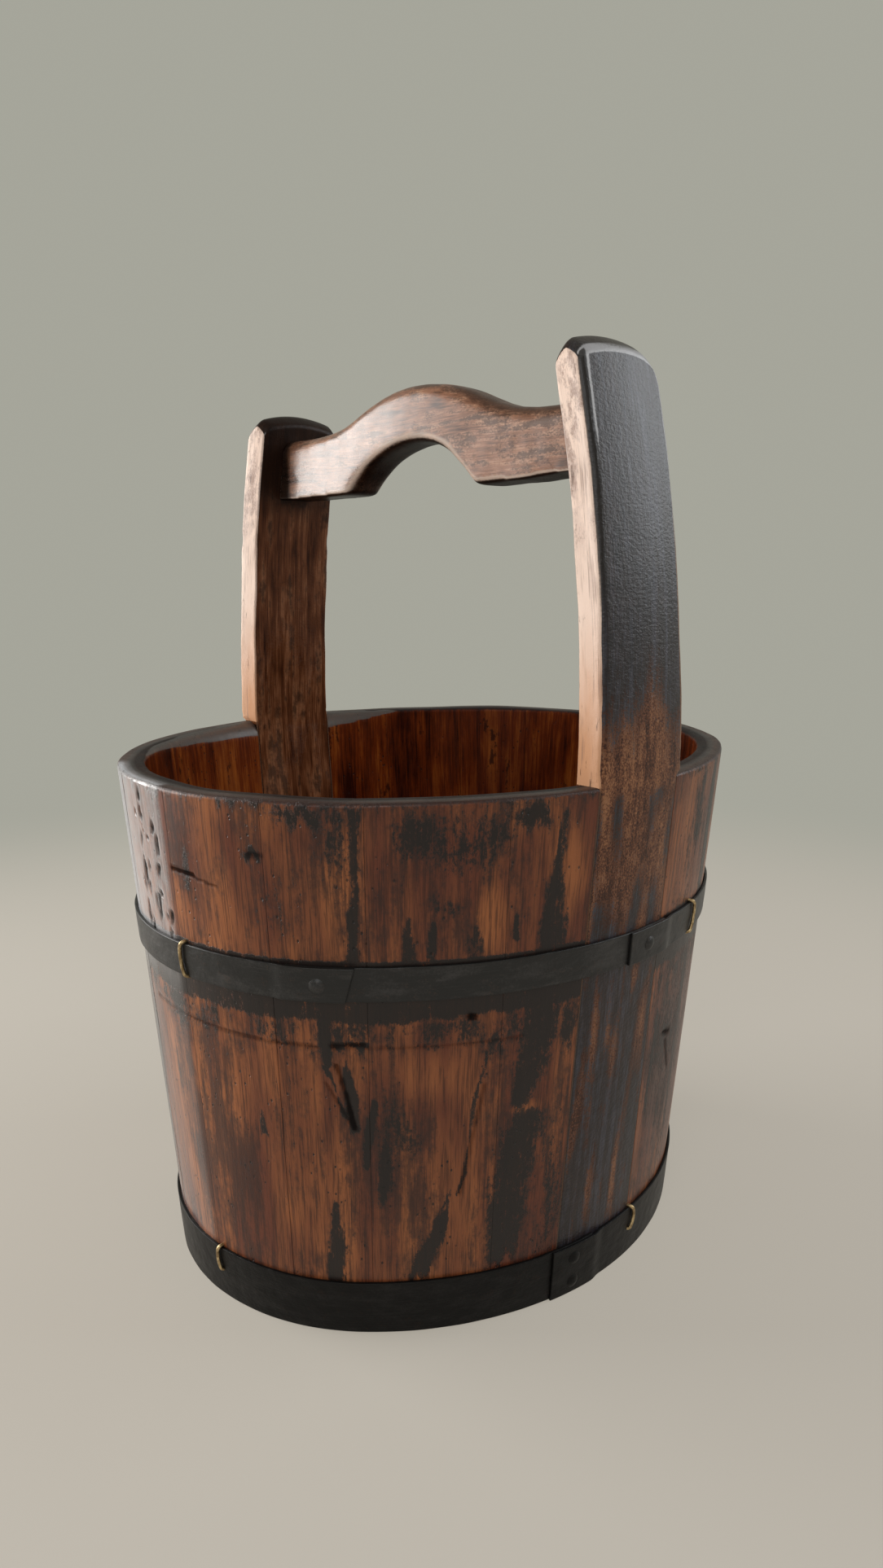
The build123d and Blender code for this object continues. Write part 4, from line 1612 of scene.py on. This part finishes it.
@dataclass(frozen=True)
class StaveWood:
    """Old oiled softwood: red-brown, fine grain up the stave, under a black coat that is worn through in places,
    with painted shade in cuts and seams and a painted sheen on the knotty stave.
    """

    red: Colour = (0.134, 0.0350, 0.0155)
    orange: Colour = (0.340, 0.1140, 0.0370)
    dark: Colour = (0.034, 0.0105, 0.0060)
    film: Colour = (0.034, 0.0150, 0.0115)
    # Black of the coat, also painted as shade in the cuts and seams
    tar_and_painted_shade: Colour = (0.0110, 0.0098, 0.0092)
    inside_dark: Colour = (0.020, 0.0025, 0.0003)
    inside_mid: Colour = (0.115, 0.0180, 0.0018)
    inside_light: Colour = (0.270, 0.0700, 0.0100)
    rim: Colour = (0.026, 0.024, 0.023)
    scooped: Colour = (0.080, 0.071, 0.062)
    # Pale colour painted on the knotty stave as its sheen
    painted_sheen: Colour = (0.33, 0.285, 0.265)

    def material(self) -> bpy.types.Material:
        """Builds the finish.

        Returns:
            The material.
        """
        graph = Graph("stave_wood")
        place = graph.vector("place")
        grain = graph.shift(place, graph.value("seed"), (0.37, 0.11, 0.53))
        grain = graph.waver(grain, (60, 60, 130), (6, 6, 0))
        depth, height = graph.part(place, "Y"), graph.part(place, "Z")
        glow, soot, tone = graph.value("glow"), graph.value("soot"), graph.value("tone")
        polish, scar = graph.value("polish"), graph.value("scar")
        outside = graph.step(depth, 10 * MM, 5 * MM)
        fine = graph.noise(grain, (0.8, 0.8, 20), 3, 0.65)
        fibre = graph.noise(grain, (1.7, 1.7, 46), 4, 0.65)
        bands = graph.noise(grain, (13, 13, 220), 2, 0.5)
        broad = graph.noise(place, (46, 46, 80), 3, 0.5)
        speck = graph.noise(place, (1.7, 1.7, 2.8), 4, 0.75)
        # Bare wood of the outer face
        hue = graph.weigh((broad, 0.75), (bands, 0.45), (tone, 0.035), (glow, 0.16))
        wood = graph.mix(graph.step(hue, 0.46, 0.80), self.red, self.orange)
        vein = graph.step(graph.weigh((fine, 0.5), (fibre, 0.5)), 0.55, 0.40)
        wood = graph.lay(wood, self.dark, vein, 0.66)
        # Bare wood of the inside, streaked by water
        runs = graph.noise(grain, (14, 14, 240), 3, 0.6)
        murk = graph.noise(place, (24, 24, 60), 4, 0.65)
        blots = graph.noise(place, (9, 9, 20), 4, 0.65)
        tint = graph.weigh((fine, 0.15), (fibre, 0.20), (runs, 0.35), (murk, 0.30), (tone, 0.022))
        inside_wood = graph.ramp(tint, ((0.41, self.inside_dark), (0.50, self.inside_mid),
                                        (0.60, self.inside_light)))
        drips = graph.step(graph.weigh((murk, 0.6), (runs, 0.5), (blots, 0.8), (speck, 0.2)), 1.16, 1.24)
        inside_wood = graph.lay(inside_wood, self.inside_dark, drips, 0.85)
        colour = graph.mix(outside, inside_wood, wood)
        # Thin film and black coat
        patch = graph.noise(place, (22, 22, 48), 3, 0.6)
        streak = graph.noise(grain, (3, 3, 40), 3, 0.6)
        drops = graph.noise(place, (5, 5, 8), 4, 0.65)
        haze = graph.weigh((patch, 1.0), (streak, 0.8), (drops, 0.7), (speck, 0.4), (glow, -0.35), (soot, 0.25))
        thin = graph.step(haze, 1.36, 1.68)
        colour = graph.lay(colour, self.film, thin, graph.weigh((outside, 0.62), base=0.1))
        stipple = graph.weigh((speck, 1.7), (fine, 1.0), (drops, 1.0))
        cover = graph.weigh((soot, 0.95), (patch, 1.15), (streak, 0.8), (stipple, 1.0), (glow, -0.14), base=-3.19)
        coat = graph.step(cover, 0.0, 0.34)
        colour = graph.lay(colour, self.tar_and_painted_shade, coat, graph.times(outside, 0.90))
        # Knotty stave with its painted pale sheen, pits, and painted shade in the cuts and seams
        upper = graph.step(graph.weigh((height, 1.0), (patch, 20 * MM)), 190 * MM, 225 * MM)
        # Painted sheen: the upper part of the knotty stave is laid over with a pale colour
        painted_sheen_share = graph.step(graph.weigh((fibre, 0.5), (drops, 0.5)), 0.36, 0.60)
        painted_sheen_share = graph.times(graph.times(polish, upper), painted_sheen_share)
        colour = graph.lay(colour, self.painted_sheen, painted_sheen_share, 0.5)
        pitted = graph.step(graph.noise(place, (20, 20, 40), 2), 0.46, 0.58)
        pits = graph.times(graph.step(graph.cells(place, (4, 4, 6)), 0.17, 0.09), pitted)
        colour = graph.lay(colour, self.tar_and_painted_shade, pits, 0.85)
        # Painted shade in the cuts and pits
        colour = graph.lay(colour, self.tar_and_painted_shade, scar, 0.96)
        # Painted shade along the seams between the staves
        seam = graph.step(graph.weigh((graph.value("seam"), 1.0), (speck, 0.6 * MM)), 0.55 * MM, 0.25 * MM)
        colour = graph.lay(colour, self.tar_and_painted_shade, seam, 0.5)
        # Rim
        rim = graph.weigh((height, 1.0), (speck, 2.5 * MM), base=-WALL.height)
        rim = graph.step(rim, -0.6 * MM, 0.9 * MM)
        lip = graph.step(depth, 4 * MM, 7 * MM)
        colour = graph.lay(colour, graph.mix(lip, self.film, self.rim), rim, 0.92)
        hollow = graph.step(graph.weigh((graph.value("hollow"), 1.0), (speck, 0.5), (drops, 0.4)), 0.62, 1.05)
        colour = graph.lay(colour, self.scooped, hollow, 0.85)
        # Gloss and relief
        roughness = graph.weigh((speck, 0.25), (patch, 0.15), (rim, 0.10), (polish, -0.18), (scar, 0.3), base=0.16)
        relief = graph.bump(fine, 0.06 * MM, strength=graph.weigh((polish, -0.7), base=1.0))
        relief = graph.bump(speck, 0.10 * MM, relief, strength=graph.weigh((polish, -0.8), base=1.0))
        relief = graph.bump(graph.weigh((coat, 1.0), (pits, -4.0)), 0.10 * MM, relief)
        specular = graph.weigh((outside, 0.30), (rim, -0.06), (hollow, 0.25), (scar, -0.60), (polish, 0.45),
                               base=0.08)
        rubbed = graph.weigh((polish, 1.0), (scar, -1.0))
        bloom = graph.math("MULTIPLY", rubbed, graph.weigh((upper, 0.7), base=0.2), clamp=True)
        return graph.surface(colour, roughness, relief, specular=specular, bloom=bloom)


@dataclass(frozen=True)
class UprightWood:
    """Tall staves: a black leathery coat that gives way to brown at the rim, worn pale on the narrow sides, with
    painted sheen, highlights and shade.
    """

    coat: Colour = (0.0110, 0.0105, 0.0125)
    # Bluish grey painted on the coat as its sheen
    painted_coat_sheen: Colour = (0.0360, 0.0420, 0.0580)
    dark: Colour = (0.040, 0.0150, 0.0090)
    brown: Colour = (0.130, 0.0480, 0.0240)
    tan: Colour = (0.320, 0.1450, 0.0660)
    pale: Colour = (0.76, 0.580, 0.475)
    pale_mid: Colour = (0.50, 0.370, 0.315)
    pale_low: Colour = (0.58, 0.295, 0.155)
    pale_dark: Colour = (0.25, 0.150, 0.110)
    inner_dark: Colour = (0.030, 0.0085, 0.0035)
    inner_mid: Colour = (0.112, 0.0370, 0.0145)
    inner_light: Colour = (0.280, 0.1180, 0.0560)
    # Black of soot on the inner face, also painted as shade in the seams and on the chamfer
    soot: Colour = (0.008, 0.0045, 0.0035)
    top: Colour = (0.020, 0.0115, 0.0090)
    # Tan and pale grey of the painted highlights on the brink and the worn edges
    rubbed: Colour = (0.22, 0.112, 0.062)
    bright: Colour = (0.50, 0.490, 0.490)

    def material(self) -> bpy.types.Material:
        """Builds the finish.

        Returns:
            The material.
        """
        graph = Graph("upright_wood")
        place = graph.vector("place")
        grain = graph.shift(place, graph.value("seed"), (0.37, 0.11, 0.53))
        grain = graph.waver(grain, (60, 60, 130), (7, 7, 0))
        depth, height = graph.part(place, "Y"), graph.part(place, "Z")
        fibre = graph.noise(grain, (0.6, 0.6, 22), 3, 0.6)
        lines = graph.noise(grain, (3, 3, 100), 2, 0.5)
        blotch = graph.noise(grain, (13, 13, 44), 3, 0.6)
        drops = graph.noise(place, (5, 5, 8), 4, 0.65)
        speck = graph.noise(place, (0.9, 0.9, 1.3), 3, 0.7)
        wrinkle = graph.noise(place, (2.6, 2.6, 1.7), 3, 0.6)
        tint = graph.weigh((fibre, 0.28), (lines, 0.27), (blotch, 0.45))
        # Outer face, its coat with painted sheen streaks, and a painted highlight along its brink
        outside = graph.ramp(graph.weigh((tint, 0.6), (drops, 0.3), (speck, 0.55), base=-0.225),
                             ((0.42, self.dark), (0.50, self.brown), (0.60, self.tan)))
        level = graph.weigh((graph.value("cover"), 1.7), (blotch, 1.1), (speck, 2.0), (drops, 1.5), (fibre, 0.8),
                            base=-2.7)
        coated = graph.step(level, 0.76, 1.06)
        # Streaks of painted sheen along the grain of the coat
        streaks = graph.step(graph.weigh((fibre, 0.6), (lines, 0.5), (drops, 0.3)), 0.66, 0.86)
        outside = graph.lay(outside, graph.mix(streaks, self.coat, self.painted_coat_sheen), coated, 0.93)
        # Painted highlight along the brink: tan low down, pale grey higher up
        brink = graph.step(graph.weigh((graph.value("brink"), 1.0), (speck, 0.8), (drops, 0.5)), 0.95, 1.35)
        gleam = graph.mix(graph.step(height, 400 * MM, 450 * MM), self.rubbed, self.bright)
        outside = graph.lay(outside, gleam, brink, 0.8)
        # Inner face, sooty at the handle's joint
        inner = graph.ramp(tint, ((0.38, self.inner_dark), (0.49, self.inner_mid), (0.61, self.inner_light)))
        drips = graph.step(graph.weigh((blotch, 1.0), (lines, 0.6), (drops, 0.8)), 1.20, 1.46)
        inner = graph.lay(inner, self.soot, drips, 0.72)
        # Inner face, darkened at the top near the handle's joint
        joint = graph.step(graph.weigh((height, 1.0), (blotch, 30 * MM)), 436 * MM, 468 * MM)
        inner = graph.lay(inner, self.soot, joint, 0.9)
        inside = graph.step(depth, 5 * MM, 11 * MM)
        colour = graph.mix(inside, outside, inner)
        # Narrow sides, with painted shade in the seams and on the chamfer
        greyed = graph.step(graph.weigh((height, 1.0), (blotch, 60 * MM)), 330 * MM, 420 * MM)
        pale = graph.mix(greyed, self.pale_low, self.pale)
        high = graph.step(height, 380 * MM, 440 * MM)
        mauve = graph.times(graph.step(graph.weigh((blotch, 0.6), (drops, 0.5)), 0.52, 0.64), high)
        pale = graph.lay(pale, self.pale_mid, mauve, 0.7)
        pale = graph.lay(pale, self.pale_dark, graph.step(tint, 0.49, 0.37), 0.8)
        smudge = graph.step(graph.weigh((height, 2.0), (blotch, 1.0), (speck, 0.6), (drops, 0.6)), 2.02, 2.24)
        pale = graph.lay(pale, self.pale_dark, smudge, 0.65)
        cracks = graph.noise(grain, (2.2, 2.2, 16), 3, 0.7)
        cracks = graph.step(graph.weigh((cracks, 1.0), (blotch, 0.5)), 0.92, 1.04)
        pale = graph.lay(pale, self.dark, cracks, 0.7)
        side = graph.step(graph.weigh((graph.value("side"), 1.0), (speck, 0.5)), 0.62, 0.86)
        colour = graph.mix(side, colour, pale)
        # Painted shade in the seams beside the tall stave, below the rim
        seam = graph.step(graph.weigh((graph.value("side"), -1.0), (speck, 0.4)), 0.65, 1.10)
        colour = graph.lay(colour, self.soot, seam, graph.weigh((inside, 0.35), base=0.6))
        # Painted shade on the left chamfer
        chamfer = graph.step(graph.weigh((graph.value("chamfer"), 1.0), (speck, 0.6)), 0.40, 1.10)
        colour = graph.lay(colour, self.soot, chamfer, 0.9)
        # Top, and painted highlight on the worn edges
        crown = graph.step(graph.weigh((height, 1.0), (speck, 4 * MM), (graph.value("crown"), 1.0)), 0.0, 3 * MM)
        colour = graph.lay(colour, self.top, crown, 0.88)
        worn = graph.step(graph.weigh((graph.value("edge"), 1.0), (speck, 0.5)), 0.44, 0.70)
        colour = graph.lay(colour, gleam, worn, graph.weigh((side, -0.3), (inside, 0.2), base=0.4))
        # Gloss and relief
        roughness = graph.weigh((speck, 0.22), (blotch, 0.12), (side, 0.16), base=0.19)
        relief = graph.bump(fibre, 0.08 * MM)
        leathery = graph.weigh((side, -0.5), (inside, -0.5), base=1.0)
        relief = graph.bump(wrinkle, 0.32 * MM, relief, strength=leathery)
        relief = graph.bump(speck, 0.08 * MM, relief)
        relief = graph.bump(cracks, 0.4 * MM, relief, strength=side)
        specular = graph.weigh((inside, -0.28), (side, 0.1), (coated, 0.14), base=0.27)
        return graph.surface(colour, roughness, relief, specular=specular)


@dataclass(frozen=True)
class HandleWood:
    """Hand-polished crossbar: pinkish brown along its flanks, dark at the joints, with painted shade in the arch
    and on its undersides, a painted shadow at the far joint and a painted highlight along the arch.
    """

    dark: Colour = (0.050, 0.022, 0.013)
    mid: Colour = (0.240, 0.110, 0.062)
    light: Colour = (0.500, 0.285, 0.180)
    # Near black: dirt at the near joint, painted shade on the undersides and painted shadow at the far joint
    grime: Colour = (0.0050, 0.0025, 0.0018)
    # Pale rubbed wood of the worn edges, also the painted highlight along the arch
    rubbed: Colour = (0.58, 0.46, 0.38)

    def material(self) -> bpy.types.Material:
        """Builds the finish.

        Returns:
            The material.
        """
        graph = Graph("handle_wood")
        place = graph.waver(graph.object_place(), (60, 90, 40), (4, 0, 9))
        fibre = graph.noise(place, (0.7, 24, 0.7), 3, 0.6)
        lines = graph.noise(place, (3, 70, 2.6), 3, 0.6)
        blotch = graph.noise(place, (16, 38, 13), 3, 0.6)
        drops = graph.noise(place, (5, 12, 4), 4, 0.65)
        speck = graph.noise(place, (0.9, 1.6, 0.9), 3, 0.7)
        tint = graph.weigh((fibre, 0.22), (lines, 0.33), (blotch, 0.45))
        colour = graph.ramp(tint, ((0.39, self.dark), (0.50, self.mid), (0.61, self.light)))
        patina = graph.step(graph.weigh((blotch, 0.9), (speck, 0.5), (lines, 0.7), (drops, 0.6)), 1.30, 1.54)
        colour = graph.lay(colour, self.dark, patina, 0.88)
        worn = graph.step(graph.weigh((graph.value("edge"), 1.0), (speck, 0.3)), 0.24, 0.55)
        colour = graph.lay(colour, self.rubbed, worn, 0.65)
        # Painted highlight in a band on the slanting lower faces along the arch
        below = graph.weigh((graph.value("under"), 1.0), (speck, 0.2))
        painted_arch_highlight = graph.times(graph.step(below, 0.22, 0.42), graph.step(below, 0.85, 0.66))
        colour = graph.lay(colour, self.rubbed, painted_arch_highlight, 0.6)
        # Painted shade on the faces that look downwards
        under = graph.step(graph.weigh((graph.value("under"), 1.0), (speck, 0.3), (blotch, 0.2)), 0.70, 1.05)
        colour = graph.lay(colour, self.grime, under, 0.92)
        crest = graph.step(graph.weigh((graph.value("crest"), 1.0), (drops, 0.5), (speck, 0.3)), 0.65, 1.10)
        colour = graph.lay(colour, self.dark, crest, 0.75)
        along = graph.part(place, "Y")
        # Painted shadow of the far tall stave on the far end, and dirt at the near joint
        painted_far_shadow = graph.step(graph.weigh((along, 1.0), (speck, 4 * MM)), 120 * MM, 126 * MM)
        near_joint = graph.step(graph.weigh((along, 1.0), (speck, 10 * MM)), -120 * MM, -136 * MM)
        joint_dirt_and_painted_shadow = graph.weigh((painted_far_shadow, 0.92), (near_joint, 0.6))
        colour = graph.mix(joint_dirt_and_painted_shadow, colour, self.grime)
        sheen = graph.step(along, -40 * MM, 60 * MM)
        roughness = graph.weigh((speck, 0.22), (blotch, 0.12), (sheen, -0.06), base=0.18)
        relief = graph.bump(fibre, 0.10 * MM)
        relief = graph.bump(speck, 0.08 * MM, relief)
        specular = graph.times(graph.weigh((sheen, 0.58), base=0.18), graph.weigh((under, -0.96), base=1.0))
        return graph.surface(colour, roughness, relief, specular=specular)


@dataclass(frozen=True)
class BoardWood:
    """Bottom boards: the same old wood, darker and stained by water."""

    dark: Colour = (0.035, 0.012, 0.006)
    light: Colour = (0.17, 0.062, 0.022)

    def material(self) -> bpy.types.Material:
        """Builds the finish.

        Returns:
            The material.
        """
        graph = Graph("board_wood")
        place = graph.object_place()
        fibre = graph.noise(place, (40, 0.9, 0.9), 4, 0.6)
        bands = graph.noise(place, (170, 7, 7), 3, 0.55)
        blotch = graph.noise(place, (30, 22, 20), 4, 0.6)
        tint = graph.weigh((fibre, 0.4), (bands, 0.3), (blotch, 0.3))
        colour = graph.ramp(tint, ((0.38, self.dark), (0.6, self.light)))
        roughness = graph.weigh((blotch, 0.25), base=0.35)
        return graph.surface(colour, roughness, graph.bump(fibre, 0.15 * MM))


@dataclass(frozen=True)
class BambooFibre:
    """Split bamboo of the pins."""

    dark: Colour = (0.30, 0.20, 0.09)
    light: Colour = (0.52, 0.38, 0.19)

    def material(self) -> bpy.types.Material:
        """Builds the finish.

        Returns:
            The material.
        """
        graph = Graph("bamboo")
        fibre = graph.noise(graph.object_place(), (0.6, 0.6, 9), 4, 0.6)
        colour = graph.ramp(fibre, ((0.35, self.dark), (0.65, self.light)))
        roughness = graph.weigh((fibre, 0.2), base=0.45)
        return graph.surface(colour, roughness, graph.bump(fibre, 0.1 * MM))


@dataclass(frozen=True)
class BlackIron:
    """Wrought straps under old black paint, rubbed in places and pitted with rust, with painted shade low down and
    along the straps' edges.
    """

    name: str
    follows_strap: bool
    paint: Colour = (0.0085, 0.0080, 0.0076)
    rubbed: Colour = (0.034, 0.031, 0.029)
    rust: Colour = (0.040, 0.020, 0.012)
    # Black painted as shade low down and along the straps' edges
    black: Colour = (0.0040, 0.0036, 0.0034)

    def material(self) -> bpy.types.Material:
        """Builds the finish.

        Returns:
            The material.
        """
        graph = Graph(self.name)
        place = graph.vector("place") if self.follows_strap else graph.object_place()
        speck = graph.noise(place, (1.1, 1.1, 1.1), 3, 0.7)
        hammer = graph.noise(place, (9, 9, 7), 2, 0.5)
        blotch = graph.noise(place, (30, 30, 9), 3, 0.6)
        drawn = graph.noise(place, (40, 40, 0.8), 2, 0.5)
        worn = graph.step(graph.weigh((blotch, 0.7), (speck, 0.3)), 0.46, 0.66)
        colour = graph.mix(worn, self.paint, self.rubbed)
        rust = graph.step(graph.weigh((hammer, 0.6), (speck, 0.6)), 0.68, 0.80)
        colour = graph.lay(colour, self.rust, rust, 0.55)
        colour = graph.lay(colour, self.rubbed, graph.step(drawn, 0.62, 0.72), 0.4)
        # Painted shade low down, on the bottom hoop and its rivets
        low = graph.step(graph.part(place, "Z"), 50 * MM, 30 * MM)
        colour = graph.lay(colour, self.black, low, 0.6)
        if self.follows_strap:
            # Painted shade along the straps' edges
            brink = graph.step(graph.weigh((graph.value("rim"), 1.0), (speck, 1.2 * MM)), 1.5 * MM, 0.8 * MM)
            colour = graph.lay(colour, self.black, brink, 0.85)
        roughness = graph.weigh((speck, 0.20), (blotch, 0.20), base=0.22)
        relief = graph.bump(hammer, 0.6 * MM)
        relief = graph.bump(drawn, 0.10 * MM, relief)
        relief = graph.bump(speck, 0.10 * MM, relief)
        return graph.surface(colour, roughness, relief, specular=graph.weigh((low, -0.30), base=0.45))


@dataclass(frozen=True)
class AgedBrass:
    """Old brass wire, brown where it is never rubbed."""

    dull: Colour = (0.27, 0.185, 0.095)
    bright: Colour = (0.66, 0.50, 0.28)

    def material(self) -> bpy.types.Material:
        """Builds the finish.

        Returns:
            The material.
        """
        graph = Graph("brass_wire")
        place = graph.object_place()
        blotch = graph.noise(place, (3, 3, 4), 3, 0.6)
        colour = graph.mix(graph.step(blotch, 0.4, 0.65), self.dull, self.bright)
        roughness = graph.weigh((blotch, 0.3), base=0.28)
        return graph.surface(colour, roughness, graph.bump(blotch, 0.2 * MM), metallic=1.0)


# The studio


@dataclass(frozen=True)
class Lamp:
    """Soft area light: where it stands, where it points, its size, power and colour."""

    name: str
    place: tuple[float, float, float]
    target: tuple[float, float, float]
    size: tuple[float, float]
    power: float
    colour: Colour = (1.0, 1.0, 1.0)

    def build(self) -> None:
        """Makes the light."""
        data = bpy.data.lights.new(self.name, "AREA")
        data.shape = "RECTANGLE"
        data.size, data.size_y = self.size
        data.energy = self.power
        data.color = self.colour
        light = bpy.data.objects.new(self.name, data)
        light.location = self.place
        light.rotation_euler = (Vector(self.target) - Vector(self.place)).to_track_quat("-Z", "Y").to_euler()
        light.visible_camera = False
        bpy.context.scene.collection.objects.link(light)


@dataclass(frozen=True)
class Studio:
    """Pale floor that fades into a plain backdrop, soft lights and the camera."""

    floor: Colour = (0.58, 0.545, 0.49)
    backdrop: Colour = (0.380, 0.378, 0.325)
    tile: Colour = (0.530, 0.485, 0.410)
    evened: float = 0.62
    ambient: float = 0.22
    fade: tuple[float, float] = (0.40, 1.30)
    floor_radius: float = 30.0
    camera_place: tuple[float, float, float] = (-0.4223, -0.5009, 0.3993)
    camera_pitch: float = 11.513
    camera_heading: float = 40.583
    focal_pixels: float = 1328.8
    picture_height: float = 1926.0
    sensor: float = 36.0
    lamps: tuple[Lamp, ...] = (
        Lamp("window", (-1.00, 1.25, 0.62), (0.0, 0.0, 0.25), (1.1, 1.2), 34.0, (1.0, 0.985, 0.96)),
        Lamp("room", (1.30, -0.85, 1.10), (0.0, 0.0, 0.40), (1.0, 1.0), 13.0, (0.92, 0.96, 1.0)),
        Lamp("front", (-1.60, -1.40, 1.40), (0.0, 0.0, 0.20), (1.4, 1.4), 16.0),
    )

    def build(self) -> None:
        """Makes the stage, the lights and the camera."""
        self.lay_floor()
        self.light_world()
        for lamp in self.lamps:
            lamp.build()
        bpy.context.scene.view_settings.view_transform = "Standard"
        data = bpy.data.cameras.new("camera")
        data.sensor_width = self.sensor
        data.lens = self.focal_pixels / self.picture_height * self.sensor
        camera = bpy.data.objects.new("camera", data)
        camera.location = self.camera_place
        camera.rotation_euler = (math.radians(90 - self.camera_pitch), 0.0, math.radians(-self.camera_heading))
        bpy.context.scene.collection.objects.link(camera)
        bpy.context.scene.camera = camera

    def light_world(self) -> None:
        """Even light from all round, with the backdrop's colour where the camera sees it."""
        world = bpy.data.worlds.new("studio")
        world.use_nodes = True
        tree = world.node_tree
        tree.nodes.clear()
        seen, even = tree.nodes.new("ShaderNodeBackground"), tree.nodes.new("ShaderNodeBackground")
        seen.inputs["Color"].default_value = (*self.backdrop, 1.0)
        even.inputs["Strength"].default_value = self.ambient
        even.inputs["Color"].default_value = (1.0, 1.0, 1.0, 1.0)
        path, mix = tree.nodes.new("ShaderNodeLightPath"), tree.nodes.new("ShaderNodeMixShader")
        direct, output = tree.nodes.new("ShaderNodeMath"), tree.nodes.new("ShaderNodeOutputWorld")
        mirrored = tree.nodes.new("ShaderNodeMath")
        direct.operation = mirrored.operation = "MAXIMUM"
        for source, target in ((path.outputs["Is Glossy Ray"], mirrored.inputs[0]),
                               (path.outputs["Is Transmission Ray"], mirrored.inputs[1]),
                               (path.outputs["Is Camera Ray"], direct.inputs[0]),
                               (mirrored.outputs[0], direct.inputs[1]),
                               (direct.outputs[0], mix.inputs[0]), (even.outputs[0], mix.inputs[1]),
                               (seen.outputs[0], mix.inputs[2]), (mix.outputs[0], output.inputs[0])):
            tree.links.new(source, target)
        bpy.context.scene.world = world

    def lay_floor(self) -> None:
        """Makes the floor, which the camera sees fade into the backdrop with distance."""
        shape = bmesh.new()
        bmesh.ops.create_circle(shape, cap_ends=True, segments=96, radius=self.floor_radius)
        mesh = bpy.data.meshes.new("floor")
        shape.to_mesh(mesh)
        shape.free()
        graph = Graph("floor")
        place = graph.object_place()
        mottle = graph.noise(place, (60, 60, 60), 3, 0.5)
        shade = graph.lay(self.floor, tuple(0.8 * part for part in self.floor), mottle, 0.12)
        material = graph.surface(shade, 0.7, graph.bump(mottle, 0.2 * MM), specular=0.15)
        far = graph.node("ShaderNodeVectorMath", {0: place}, operation="LENGTH")
        path = graph.node("ShaderNodeLightPath")
        mirrored = graph.math("MAXIMUM", path.outputs["Is Glossy Ray"], path.outputs["Is Transmission Ray"])
        seen = graph.math("MAXIMUM", path.outputs["Is Camera Ray"], mirrored)
        fade = graph.step(far.outputs["Value"], *self.fade)
        share = graph.times(graph.weigh((fade, 1 - self.evened), base=self.evened), seen)
        glow = graph.node("ShaderNodeEmission", {"Color": graph.mix(fade, self.tile, self.backdrop)})
        output = next(node for node in graph.tree.nodes if node.type == "OUTPUT_MATERIAL")
        surface = next(node for node in graph.tree.nodes if node.type == "BSDF_PRINCIPLED")
        mix = graph.node("ShaderNodeMixShader", {0: share, 1: surface.outputs[0], 2: glow.outputs[0]})
        graph.feed(output.inputs[0], mix.outputs[0])
        mesh.materials.append(material)
        floor = bpy.data.objects.new("floor", mesh)
        bpy.context.scene.collection.objects.link(floor)


# Assembly


LEFT_SHARES = (49, 70, 50, 61, 54, 48, 55, 50, 51)
RIGHT_SHARES = (54, 60, 52, 58, 50, 57, 55, 61, 53)
CLOSE_STAVES = 6
CLOSE_STEP, OTHER_STEP = 1.3 * MM, 2.2 * MM
RIGHT_SEED = 20.0
MIDDLE_BOARD_HALF = 48 * MM


def ordinary_staves() -> Iterable[Stave]:
    """Sets out the ordinary staves of both sides, with a finer grid on those that are seen close to.

    Returns:
        The staves, one by one.
    """
    for side, shares in ((Side.LEFT, LEFT_SHARES), (Side.RIGHT, RIGHT_SHARES)):
        seams = side_seams(side, shares)
        for number, pair in enumerate(zip(seams, seams[1:]), start=1):
            start, finish = sorted(pair, key=lambda seam: seam.arc)
            close = side is Side.LEFT and number <= CLOSE_STAVES
            yield Stave(f"stave_{side.name.lower()}_{number}", start, finish,
                        seed=number + RIGHT_SEED * (side is Side.RIGHT), step=CLOSE_STEP if close else OTHER_STEP)


def dress_solids(names: Iterable[str], finish: bpy.types.Material) -> None:
    """Gives CAD nodes that stay as they are a better material.

    Args:
        names: Names of the nodes.
        finish: The material.
    """
    for name in names:
        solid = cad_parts[name]
        for holder in solid.material_slots:
            holder.material = finish
        LOG.info("%s: dressed", name)


def main() -> None:
    """Builds all pieces in order, then the studio."""
    logging.basicConfig(level=logging.INFO, format="%(name)s %(message)s")
    stave_wood = StaveWood().material()
    upright_wood = UprightWood().material()
    for stave in ordinary_staves():
        stave.build(stave_wood)
    near_easing = EdgeEasing(3.6 * MM, 2.2 * MM, 1.2 * MM, 1.6 * MM, corner_left=7 * MM, corner_right=14 * MM)
    far_easing = EdgeEasing(1.8 * MM, 2.2 * MM, 1.8 * MM, 1.2 * MM, corner_left=4 * MM, corner_right=6 * MM)
    TallStave("near_upright_stave", End.NEAR, 41.0, near_easing, flare=4 * MM).build(upright_wood)
    TallStave("far_upright_stave", End.FAR, 47.0, far_easing, splay=3.6 * MM).build(upright_wood)
    CarryHandle().build(HandleWood().material())
    board_wood = BoardWood().material()
    edges = (-WALL.half_width, -MIDDLE_BOARD_HALF, MIDDLE_BOARD_HALF, WALL.half_width)
    for name, start, finish in zip(("near", "middle", "far"), edges, edges[1:]):
        BottomBoard(f"bottom_board_{name}", start, finish).build(board_wood)
    hoop_iron = BlackIron("hoop_iron", True).material()
    for strap in hoop_straps():
        strap.build(hoop_iron)
    brass = AgedBrass().material()
    StapleSet(Hoop.MIDDLE, (-256, 72, -440, 328), HOOPS.middle_low, HOOPS.middle_high).build(brass)
    StapleSet(Hoop.BOTTOM, (-257, 36, -437, 325), HOOPS.bottom_high - 14 * MM, HOOPS.bottom_high).build(brass)
    dress_solids(("middle_hoop_rivets", "bottom_hoop_rivets"), BlackIron("rivet_iron", False).material())
    dress_solids(("stave_edge_pins", "bottom_board_pins"), BambooFibre().material())
    Studio().build()


if __name__ == "__main__":
    main()
